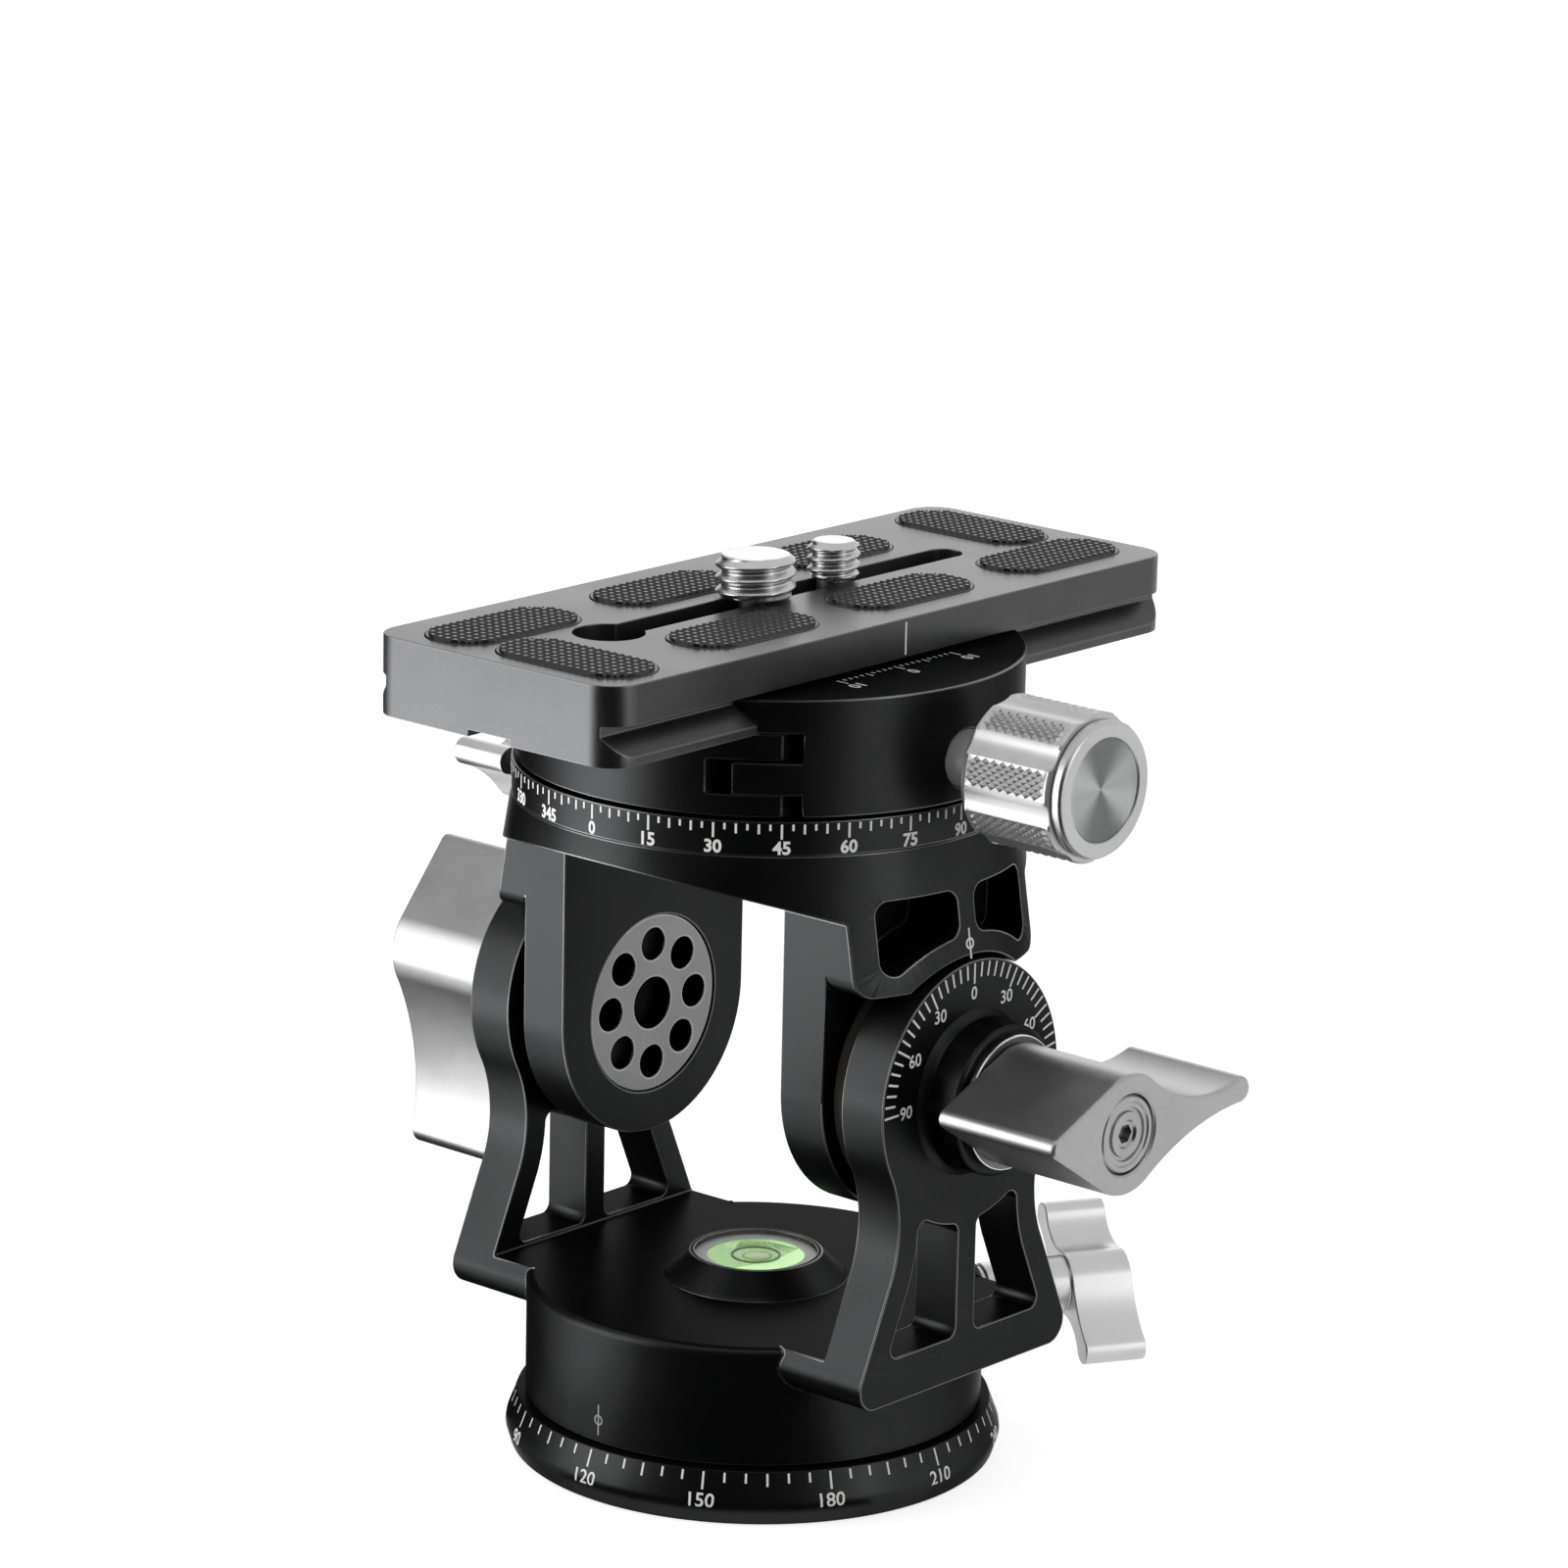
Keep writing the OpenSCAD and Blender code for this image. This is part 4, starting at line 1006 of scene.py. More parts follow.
def hexagon(across: float) -> Reach:
    """Give the radius of a hexagon as a function of the turn, from its width across corners."""
    def radius(angle: float) -> float:
        """Give the radius at this turn."""
        return across / 2 * math.cos(math.pi / 6) / math.cos(angle % (math.pi / 3) - math.pi / 6)
    return radius


# ---------------------------------------------------------------- sub-assemblies


@dataclass
class BaseDial(Assembly):
    """Base dial ring with its scale, the underside disc, the threaded bush and its screws."""

    slope: tuple[Flat, ...] = ((28.5, 6.5), (29.75, 3.2), (29.85, 2.5), (29.2, 0.4))
    zero_at: float = 150.0
    ticks: tuple[Flat, ...] = ((30, 2.35), (15, 1.75), (5, 1.4))
    tick_from: float = 0.25
    tick_width: float = 0.25
    digit: float = 1.7
    digit_down: float = 3.6
    bush_r: float = 7.5
    bush_h: float = 9.0
    thread_root: float = 4.7625
    thread_crest: float = 4.1
    thread_pitch: float = 1.5875
    thread_rows: int = 51
    thread_in: float = 0.2
    thread_low: float = 0.6
    bush_edge: float = 0.3
    mouth_r: float = 5.3
    mouth_z: float = 0.55

    def build(self) -> None:
        """Make the marks and the bush, and dress the rest."""
        self.dress("base_dial", Finishes.BLACK, 0.15)
        self.dress("base_disc", Finishes.BLACK, 0.2, Finishes.BLACK_EDGE_HIGHLIGHT)
        self.dress("base_screw_a base_screw_b base_screw_c", Finishes.STEEL, 0.2)
        self.dress("base_spindle pan_retainer", Finishes.STEEL)
        self.scale()
        self.bush()

    def scale(self) -> None:
        """Make the scale of the flared side."""
        sheet, band = MarkSheet(), RoundBand(self.slope)
        for degree in range(0, 360, 5):
            here = band.turned(self.zero_at + degree)
            low = tick_size(self.ticks, degree)
            sheet.bar(here, (0, -(self.tick_from + low) / 2), self.tick_width, low - self.tick_from)
            if degree % 30 == 0:
                sheet.number(here, str(degree), (0, -self.digit_down), self.digit, heavy=0.012)
        self.fit(sheet.solid("base_scale"), Body.BASE, Finishes.PAINT)

    def bush(self) -> None:
        """Make the bush with its tripod thread."""
        edge, high = self.bush_edge, self.bush_h - self.thread_in
        rows: list[Row] = [(0.0, self.mouth_r), (0.0, self.bush_r - edge), (edge, self.bush_r),
                           (self.bush_h, self.bush_r), (self.bush_h, self.thread_root)]
        for i in range(self.thread_rows + 1):
            z = high - i * (high - self.thread_low) / self.thread_rows
            rows.append((z, thread_radius(self.thread_pitch, self.thread_root, self.thread_crest, z)))
        rows.append((self.mouth_z, self.thread_root))
        shell = Shell()
        shell.lathe(Axis.Z, (0, 0), rows, full_turn(72), ring=True)
        self.fit(shell.solid("tripod_bush", 28), Body.BASE, Finishes.BUSH, stands_for=["thread_bush"])


@dataclass
class Yoke(Assembly):
    """Round housing with its two arms, their dials and the collars on them."""

    arm_out: float = 32.7
    axis_z: float = 51.3
    housing: tuple[Flat, ...] = ((27.5, 20.2), (27.5, 6.8))
    ticks: tuple[Flat, ...] = ((30, 13.0), (5, 13.7))
    tick_r: float = 15.45
    tick_width: float = 0.27
    digit: float = 1.6
    digit_r: float = 11.9
    end_digit_r: float = 11.7
    boxes_r: float = 13.4
    boxes: tuple[Point, ...] = ((-16.5, 0.8, 1.35), (-8.5, 1.35, 1.35), (3.0, 1.95, 1.3), (18.0, 2.5, 1.25),
                                (36.5, 3.0, 1.2))
    box_stroke: float = 0.22
    minus_at: float = -25.0
    minus_long: float = 1.0
    plus_at: float = 51.0
    plus_long: float = 1.1
    sign_stroke: float = 0.24

    def build(self) -> None:
        """Make the marks and dress the solids."""
        self.dress("yoke", Finishes.BLACK, 0.2, Finishes.BLACK_EDGE_HIGHLIGHT, clamped=False)
        self.dress("lock_collar drag_collar", Finishes.BLACK, 0.15)
        self.dress("lock_liner drag_liner", Finishes.LINER)
        self.angle_dial()
        self.friction_dial()
        self.index()

    def angle_dial(self) -> None:
        """Make the scale of the tilt on the +X arm."""
        sheet = MarkSheet()
        face = FlatFace((self.arm_out, 0, self.axis_z), (0, 1, 0), (0, 0, 1))
        for degree in range(-90, 91, 5):
            low = tick_size(self.ticks, degree)
            middle = turned((0, (self.tick_r + low) / 2), degree)
            sheet.bar(face, middle, self.tick_width, self.tick_r - low, degree)
            if degree % 30 == 0:
                reach = self.end_digit_r if abs(degree) == 90 else self.digit_r
                sheet.number(face, str(abs(degree)), turned((0, reach), degree), self.digit, heavy=0.012)
        self.fit(sheet.solid("tilt_scale"), Body.YOKE, Finishes.PAINT)

    def friction_dial(self) -> None:
        """Make the growing boxes of the friction scale on the -X arm."""
        sheet = MarkSheet()
        face = FlatFace((-self.arm_out, 0, self.axis_z), (0, -1, 0), (0, 0, 1))
        for degree, length, height in self.boxes:
            sheet.box(face, turned((0, self.boxes_r), degree), length, height, self.box_stroke, degree)
        minus = turned((0, self.boxes_r), self.minus_at)
        sheet.bar(face, minus, self.minus_long, self.sign_stroke, self.minus_at)
        plus = turned((0, self.boxes_r), self.plus_at)
        sheet.bar(face, plus, self.plus_long, self.sign_stroke, self.plus_at)
        reach, height = (self.plus_long + self.sign_stroke) / 4, (self.plus_long - self.sign_stroke) / 2
        for side in (-1, 1):
            middle = turned((0, side * reach), self.plus_at, plus)
            sheet.bar(face, middle, self.sign_stroke, height, self.plus_at)
        self.fit(sheet.solid("friction_scale"), Body.YOKE, Finishes.PAINT)

    def index(self) -> None:
        """Make the faint index of the housing above the base scale."""
        sheet, band = MarkSheet(), RoundBand(self.housing, -90)
        sheet.index(band, up=-10.6, radius=0.65, length=3.8, stroke=0.2)
        self.fit(sheet.solid("housing_index"), Body.YOKE, Finishes.FAINT_PAINT)


@dataclass
class BubbleLevel(Assembly):
    """Round level in its boss: cup, fluid, lens, the collar and target under it and the bubble."""

    lens_z: float = 23.4
    steps: int = 64
    bubble_at: Flat = (0.5, -0.3)
    bubble_steps: int = 40
    bubble: tuple[Flat, ...] = ((-0.25, 1.5), (-0.1, 1.85), (0.03, 1.8), (0.14, 1.35), (0.18, 0.6))

    def build(self) -> None:
        """Make the rings and the bubble, and dress the solids."""
        self.dress("bubble_cup", Finishes.BLACK, 0.12, Finishes.BLACK_EDGE_HIGHLIGHT)
        self.dress("bubble_fluid", Finishes.FLUID)
        self.dress("bubble_lens", Finishes.LENS)
        z = self.lens_z
        self.ring("level_collar", Finishes.COLLAR, inner=5.9, outer=7.35, low=z - 0.1, high=z + 0.12)
        self.ring("level_target", Finishes.TARGET, inner=2.75, outer=3.0, low=z - 0.02, high=z + 0.1)
        shell = Shell()
        rows: list[Row] = [(z + up, radius) for up, radius in self.bubble]
        shell.lathe(Axis.Z, self.bubble_at, rows, full_turn(self.bubble_steps))
        self.fit(shell.solid("level_bubble", 60), Body.YOKE, Finishes.BUBBLE, Slot.FLUID)

    def ring(self, name: str, finish: Finish, inner: float, outer: float, low: float, high: float) -> None:
        """Make a flat ring round the middle of the level.

        Args:
            name: Name of the piece.
            finish: Its finish.
            inner: Radius of its hole.
            outer: Radius of its rim.
            low: Height of its underside.
            high: Height of its top.
        """
        shell = Shell()
        rows: list[Row] = [(low, inner), (high, inner), (high, outer), (low, outer)]
        shell.lathe(Axis.Z, (0, 0), rows, full_turn(self.steps), ring=True)
        self.fit(shell.solid(name, 40), Body.YOKE, finish)


@dataclass
class WingedLevers(Assembly):
    """Two winged levers that lock the two pans, with their studs and shoes."""

    edge: float = 0.3

    def build(self) -> None:
        """Dress the solids."""
        self.dress("base_lock_lever pan_lock_lever", Finishes.WING, self.edge)
        self.dress("base_lock_stud pan_lock_stud", Finishes.STEEL)
        self.dress("base_lock_shoe pan_lock_shoe", Finishes.BRONZE)


@dataclass
class BigLevers(Assembly):
    """Lock lever and friction lever with their thin rings, studs and stepped caps."""

    axis_z: float = 51.3
    cap_x: float = 54.3
    friction_in: float = 1.5
    edge: float = 0.6
    cap_t: float = 1.5
    cap_r: float = 4.6
    cap_steps: tuple[Flat, ...] = (
        (0.22, 0.0), (0.0, 0.22), (0.0, 0.75), (0.16, 0.85), (0.16, 1.4),
        (0.4, 1.5), (0.4, 1.85), (0.1, 1.95), (0.1, 2.85), (0.4, 3.1))
    socket: float = 2.4
    socket_span: Flat = (0.4, 1.2)

    def build(self) -> None:
        """Make the caps and dress the solids."""
        self.dress("lock_lever drag_lever", Finishes.SILVER, self.edge, steps=3)
        # The rings are painted dark as in shade, with bright bevels.
        self.dress("lock_ring drag_ring", Finishes.RING, 0.16, Finishes.RING_EDGE)
        self.dress("lock_stud drag_stud", Finishes.AXLE)
        self.cap("lock_lever_cap", 1, self.cap_x, Body.TILT_LOCK, "lock_cap")
        self.cap("friction_lever_cap", -1, self.cap_x - self.friction_in, Body.TILT_DRAG, "drag_cap")

    def cap(self, name: str, side: int, start: float, body: Body, node: str) -> None:
        """Make one cap with its ring steps and hexagon socket.

        Args:
            name: Name of the piece.
            side: 1 on the +X side, -1 on the -X side.
            start: Distance of its back from the middle plane.
            body: Body that it rides on.
            node: CAD node that it stands for.
        """
        end = start + self.cap_t
        rows: list[Row] = [(side * start, self.cap_r)]
        rows += [(side * (end - back), self.cap_r - inward) for back, inward in self.cap_steps]
        rows += [(side * (end - back), hexagon(self.socket)) for back in self.socket_span]
        shell = Shell()
        shell.lathe(Axis.X, (0, self.axis_z), rows, full_turn(72))
        self.fit(shell.solid(name, 24), body, Finishes.CAP, Slot.TURNED, [node])


@dataclass
class TiltBracket(Assembly):
    """Tilting bracket: round deck, inner arms and skirts, with inserts, axles and brake discs."""

    skirt: tuple[Flat, ...] = ((30.0, 81.3), (32.505, 64.6))

    def build(self) -> None:
        """Make the index marks and dress the solids."""
        self.dress("bracket", Finishes.BLACK, 0.2, Finishes.BLACK_EDGE_HIGHLIGHT, clamped=False)
        self.dress("lock_spider drag_spider", Finishes.INSERT, 0.3, Finishes.INSERT_EDGE)
        self.dress("lock_axle drag_axle", Finishes.AXLE, 0.15)
        self.dress("lock_brake drag_brake", Finishes.LINER, 0.1)
        self.dress("bearing_washer", Finishes.PLASTIC)
        sheet, band = MarkSheet(), RoundBand(self.skirt, 0)
        sheet.index(band, up=-12.45, radius=0.68, length=3.6, stroke=0.24)
        self.fit(sheet.solid("tilt_index"), Body.BRACKET, Finishes.PAINT)


@dataclass
class PanScale(Assembly):
    """Scale ring under the clamp, numbered every 15 degrees."""

    side: tuple[Flat, ...] = ((30.0, 85.4), (30.0, 81.3))
    zero_at: float = -90.0
    ticks: tuple[Flat, ...] = ((15, 1.75), (5, 1.15), (2.5, 0.75))
    tick_from: float = 0.3
    tick_width: float = 0.26
    digit: float = 1.6
    digit_down: float = 3.07

    def build(self) -> None:
        """Make the scale and dress the ring."""
        self.dress("pan_scale", Finishes.BLACK, 0.18, Finishes.BLACK_EDGE_HIGHLIGHT)
        sheet, band = MarkSheet(), RoundBand(self.side)
        for step in range(144):
            degree = step * 2.5
            here = band.turned(self.zero_at + degree)
            length = tick_size(self.ticks, degree)
            sheet.bar(here, (0, -self.tick_from - length / 2), self.tick_width, length)
            if degree % 15 == 0:
                sheet.number(here, str(round(degree)), (0, -self.digit_down), self.digit, heavy=0.03)
        self.fit(sheet.solid("pan_scale_marks"), Body.BRACKET, Finishes.PAINT)


@dataclass
class Clamp(Assembly):
    """Clamp body on its spindle, the movable jaw with its scale, and the guide pins."""

    top_z: float = 99.6
    scale_x: float = 19.3
    ticks: tuple[Flat, ...] = ((10, 1.7), (5, 1.2), (1, 0.6))
    tick_width: float = 0.22
    digit: float = 1.7
    digit_up: float = 3.0

    def build(self) -> None:
        """Make the jaw's scale and dress the solids."""
        self.dress("clamp_body jaw", Finishes.BLACK, 0.2, Finishes.BLACK_EDGE_HIGHLIGHT, clamped=False)
        self.dress("clamp_spindle spindle_disc spindle_screw guide_pin_a guide_pin_b", Finishes.STEEL)
        self.dress("clamp_screw", Finishes.SCREW, 0.15)
        sheet = MarkSheet()
        face = FlatFace((self.scale_x, 0, self.top_z), (0, -1, 0), (1, 0, 0))
        for y in range(-10, 11):
            length = tick_size(self.ticks, y)
            sheet.bar(face, (y, length / 2), self.tick_width, length)
            if y % 10 == 0:
                sheet.number(face, str(abs(y)), (y, self.digit_up), self.digit, heavy=0.02)
        self.fit(sheet.solid("jaw_scale"), Body.JAW, Finishes.PAINT)


@dataclass
class ClampKnob(Assembly):
    """Clamp knob with knurled panels between smooth flutes, a flange and a spun end disc."""

    axis_z: float = 90.8
    start: float = 36.3
    length: float = 14.6
    radius: float = 8.75
    flutes: int = 8
    flute_at: float = 12.2
    flute_r: float = 4.5
    flute_d: float = 12.8
    flute_half: float = 10.6
    flange: float = 1.5
    knurl_from: float = 37.4
    knurl_rows: int = 18
    knurl_step: float = 0.63
    knurl_depth: float = 0.26
    panel_steps: int = 8
    flute_steps: int = 8
    bore_r: float = 3.42
    bore_depth: float = 3.0
    front_r: float = 7.95
    shoulder: tuple[Flat, ...] = ((0.75, 8.7), (0.95, 8.75))
    knurl_gap: float = 0.15
    fall: tuple[Flat, ...] = ((0.3, 8.75), (0.08, 8.5))
    rise: tuple[Flat, ...] = ((0.0, 7.75), (0.06, 7.75), (0.12, 7.95), (0.2, 8.02))
    rim: tuple[Flat, ...] = ((0.45, 8.02), (0.12, 7.8), (0.0, 7.6), (0.0, 6.2), (0.15, 6.05), (0.9, 6.05))
    flange_from: float = 0.07

    def build(self) -> None:
        """Make the knob and dress its disc."""
        self.dress("knob_disc", Finishes.SPUN)
        shell = Shell()
        turns, column = self.columns()
        angles = [math.radians(turn) for turn in turns]
        x0, end = self.start, self.start + self.length
        seat = end - self.flange
        last_x = self.knurl_from + self.knurl_rows * self.knurl_step
        front: list[Row] = [(x0 + self.bore_depth, self.bore_r), (x0, self.bore_r), (x0, self.front_r)]
        front += [(x0 + along, self.side(radius)) for along, radius in self.shoulder]
        band: list[Row] = [(last_x + self.knurl_gap, self.side(self.radius))]
        band += [(seat - along, self.side(radius)) for along, radius in self.fall]
        band += [(seat + along, radius) for along, radius in self.rise]
        band += [(end - along, radius) for along, radius in self.rim]
        head = shell.lathe(Axis.X, (0, self.axis_z), front, angles)
        shell.faces.pop()
        tail = shell.lathe(Axis.X, (0, self.axis_z), band, angles)
        shell.faces.pop(-2)
        rows = [head[-1]]
        for row in range(self.knurl_rows + 1):
            x = self.knurl_from + row * self.knurl_step
            reach = [self.knurled(turn, col, row) for turn, col in zip(turns, column)]
            rows.append(shell.loop(Axis.X.place(x, radius, angle, (0, self.axis_z))
                                   for radius, angle in zip(reach, angles)))
        shell.bridge(rows[0], rows[1])
        shell.bridge(rows[-1], tail[0])
        for row, (low, high) in enumerate(zip(rows[1:], rows[2:])):
            self.knurl_faces(shell, low, high, column, row)
        piece = shell.solid("knurled_knob", 24)
        self.fit(piece, Body.KNOB, Finishes.KNOB, Slot.SILVER, ["clamp_knob"])
        piece.data.materials.append(self.paint.of(Finishes.KNOB_FLANGE))
        for face in piece.data.polygons:
            if face.center.x > (seat + self.flange_from) * MM:
                face.material_index = 1

    def columns(self) -> tuple[list[float], list[int]]:
        """Give the turns of the points round the knob in degrees, and each one's step in its panel or -1."""
        turns, column = [], []
        sector = 360 / self.flutes
        for number in range(self.flutes):
            middle = self.flute_at + sector * number
            for i in range(1, self.flute_steps):
                turns.append(middle + self.flute_half * (2 * i / self.flute_steps - 1))
                column.append(-1)
            for i in range(self.panel_steps + 1):
                turns.append(middle + self.flute_half + (sector - 2 * self.flute_half) * i / self.panel_steps)
                column.append(i)
        return turns, column

    def side(self, radius: float) -> Reach:
        """Give the radius of the side with its flutes as a function of the turn in radians."""
        sector = 2 * math.pi / self.flutes

        def reach(angle: float) -> float:
            """Give the radius at this turn."""
            off = (angle - math.radians(self.flute_at) + sector / 2) % sector - sector / 2
            if abs(off) > math.radians(self.flute_half) + 1e-9:
                return radius
            inner = self.flute_r ** 2 - (self.flute_d * math.sin(off)) ** 2
            return min(radius, self.flute_d * math.cos(off) - math.sqrt(max(inner, 0.0)))
        return reach

    def knurled(self, turn: float, col: int, row: int) -> float:
        """Give the radius of a point of the knurled length.

        Args:
            turn: Its turn in degrees.
            col: Its step in a panel, or -1 in a flute.
            row: Its row along the knob.

        Returns:
            The radius, lower in the valleys between the diamonds.
        """
        if col < 0:
            low = 0.0
        elif col in (0, self.panel_steps) or row in (0, self.knurl_rows):
            low = self.knurl_depth / 2
        else:
            low = 0.0 if (col + row) % 2 else self.knurl_depth
        return self.side(self.radius)(math.radians(turn)) - low

    def knurl_faces(self, shell: Shell, low: Sequence[int], high: Sequence[int], column: Sequence[int],
                    row: int) -> None:
        """Join two rows of the knurl, with each quad cut along its valley.

        Args:
            shell: Shell of the knob.
            low: Points of the first row.
            high: Points of the second row.
            column: Step of each point in its panel, or -1.
            row: Number of the first row.
        """
        for i, here in enumerate(low):
            j = (i + 1) % len(low)
            if column[i] < 0 or column[j] < 0:
                shell.faces.append((here, low[j], high[j], high[i]))
            elif (column[i] + row) % 2 == 0:
                shell.faces += [(here, low[j], high[j]), (here, high[j], high[i])]
            else:
                shell.faces += [(here, low[j], high[i]), (low[j], high[j], high[i])]


@dataclass
class Plate(Assembly):
    """Quick release plate with V grooves, a slot and a keyway, and the index line on its side."""

    half: float = 19.0
    index_at: Flat = (2.4, 102.5)

    def build(self) -> None:
        """Make the index line and dress the plate."""
        # The plate takes the lighter copy of the black coat, which is painted light, and painted edge
        # highlights on its bevels.
        self.dress("plate", Finishes.BLACK_PAINTED_LIGHTER, 0.16, Finishes.PLATE_EDGE_HIGHLIGHT, clamped=False)
        sheet = MarkSheet()
        face = FlatFace((self.half, *self.index_at), (0, 1, 0), (0, 0, 1))
        sheet.bar(face, (0, 0), width=0.3, height=3.9)
        self.fit(sheet.solid("plate_index"), Body.PLATE, Finishes.PAINT)


@dataclass
class RubberPads(Assembly):
    """Eight rubber pads of the plate, each a pill with a field of small blunt pyramids."""

    length: float = 21.4
    width: float = 10.2
    low_z: float = 104.2
    rim_z: float = 105.0
    top_z: float = 105.38
    margin: float = 0.45
    flat: float = 0.42
    play: float = 0.03
    edge: float = 0.15
    sink: float = 0.1
    valley: float = 0.02
    columns: int = 18
    lines: int = 8
    places: tuple[tuple[str, float, float, bool], ...] = (
        ("a", -10.1, -34.4, True), ("b", -10.1, -7.0, True), ("c", -10.1, 20.8, True),
        ("d", -6.4, 44.6, False), ("e", 6.4, -39.8, False),
        ("f", 10.1, -16.0, True), ("g", 10.1, 11.8, True), ("h", 10.1, 39.2, True))

    def build(self) -> None:
        """Make the pads."""
        for letter, x, y, along_y in self.places:
            self.pad(letter, x, y, along_y)

    def outline(self, inset: float, count: int = 20) -> list[Flat]:
        """Give the pill, counter-clockwise, at an inset from the pad's side."""
        r, reach = self.width / 2 - inset, (self.length - self.width) / 2
        points = []
        for side, start in ((1, -math.pi / 2), (-1, math.pi / 2)):
            for i in range(count + 1):
                angle = start + math.pi * i / count
                points.append((side * reach + r * math.cos(angle), r * math.sin(angle)))
        return points

    def pad(self, letter: str, x: float, y: float, along_y: bool) -> None:
        """Make one pad.

        Args:
            letter: Last letter of its node.
            x: Middle of the pad.
            y: Middle of the pad.
            along_y: Whether its length runs along Y.
        """
        shell = Shell()
        body = [shell.loop((px, py, z) for px, py in self.outline(inset))
                for inset, z in ((self.play, self.low_z), (self.play, self.rim_z - self.edge),
                                 (self.play + self.edge, self.rim_z))]
        shell.bridge(body[0], body[1])
        shell.bridge(body[1], body[2])
        shell.faces += [tuple(body[0]), tuple(body[2])]
        self.pyramids(shell)
        if along_y:
            shell.points = [(-py, px, pz) for px, py, pz in shell.points]
        shell.points = [(px + x, py + y, pz) for px, py, pz in shell.points]
        piece = shell.solid(f"rubber_pad_{letter}", 20)
        self.fit(piece, Body.PLATE, Finishes.RUBBER, Slot.RUBBER, [f"pad_{letter}"])

    def pyramids(self, shell: Shell) -> None:
        """Add the field of pyramids, cut to the pill, as a closed form that stands in the pad."""
        rim = self.outline(self.margin)
        step_x = (self.length - 2 * self.margin) / self.columns
        step_y = (self.width - 2 * self.margin) / self.lines
        floor, valley = self.rim_z - self.sink, self.rim_z - self.valley
        edges: dict[tuple[Flat, Flat], tuple[int, int, int, int]] = {}
        for i in range(self.columns):
            for j in range(self.lines):
                x, y = step_x * (i - self.columns / 2), step_y * (j - self.lines / 2)
                in_x, in_y = step_x * (1 - self.flat) / 2, step_y * (1 - self.flat) / 2
                right, far = x + step_x, y + step_y
                foot = [(px, py, valley) for px, py in ((x, y), (right, y), (right, far), (x, far))]
                corners = ((x + in_x, y + in_y), (right - in_x, y + in_y), (right - in_x, far - in_y),
                           (x + in_x, far - in_y))
                tip = [(px, py, self.top_z) for px, py in corners]
                sides = [[foot[k], foot[(k + 1) % 4], tip[(k + 1) % 4], tip[k]] for k in range(4)]
                for side in [*sides, tip]:
                    shape = clipped(side, rim)
                    if len(shape) < 3:
                        continue
                    top = shell.loop(shape)
                    low = shell.loop((px, py, floor) for px, py, _ in shape)
                    shell.faces += [tuple(top), tuple(reversed(low))]
                    for a in range(len(shape)):
                        b = (a + 1) % len(shape)
                        ends = tuple((round(shape[c][0], 5), round(shape[c][1], 5)) for c in (a, b))
                        if ends[::-1] in edges:
                            del edges[ends[::-1]]
                        elif ends[0] != ends[1]:
                            edges[ends] = (top[a], top[b], low[b], low[a])
        shell.faces += list(edges.values())


def clipped(shape: Sequence[Point], outline: Sequence[Flat]) -> list[Point]:
    """Cut a flat-sided shape to a convex outline seen from above.

    Args:
        shape: Corners of the shape.
        outline: Corners of the outline, counter-clockwise.

    Returns:
        The corners that are left, none where the shape lies outside.
    """
    kept = list(shape)
    for (ax, ay), (bx, by) in zip(outline, [*outline[1:], outline[0]]):
        sides = [(bx - ax) * (py - ay) - (by - ay) * (px - ax) for px, py, _ in kept]
        if not sides or min(sides) >= -1e-9:
            continue
        trimmed: list[Point] = []
        for i, here in enumerate(kept):
            j = (i + 1) % len(kept)
            if sides[i] >= 0:
                trimmed.append(here)
            if (sides[i] >= 0) != (sides[j] >= 0):
                share = sides[i] / (sides[i] - sides[j])
                trimmed.append(tuple(p + share * (q - p) for p, q in zip(here, kept[j])))
        kept = trimmed
    return kept


@dataclass(frozen=True)
class ScrewSize:
    """Sizes of one camera screw."""

    name: str
    node: str
    body: Body
    y: float
    radius: float
    pitch: float
    top: float


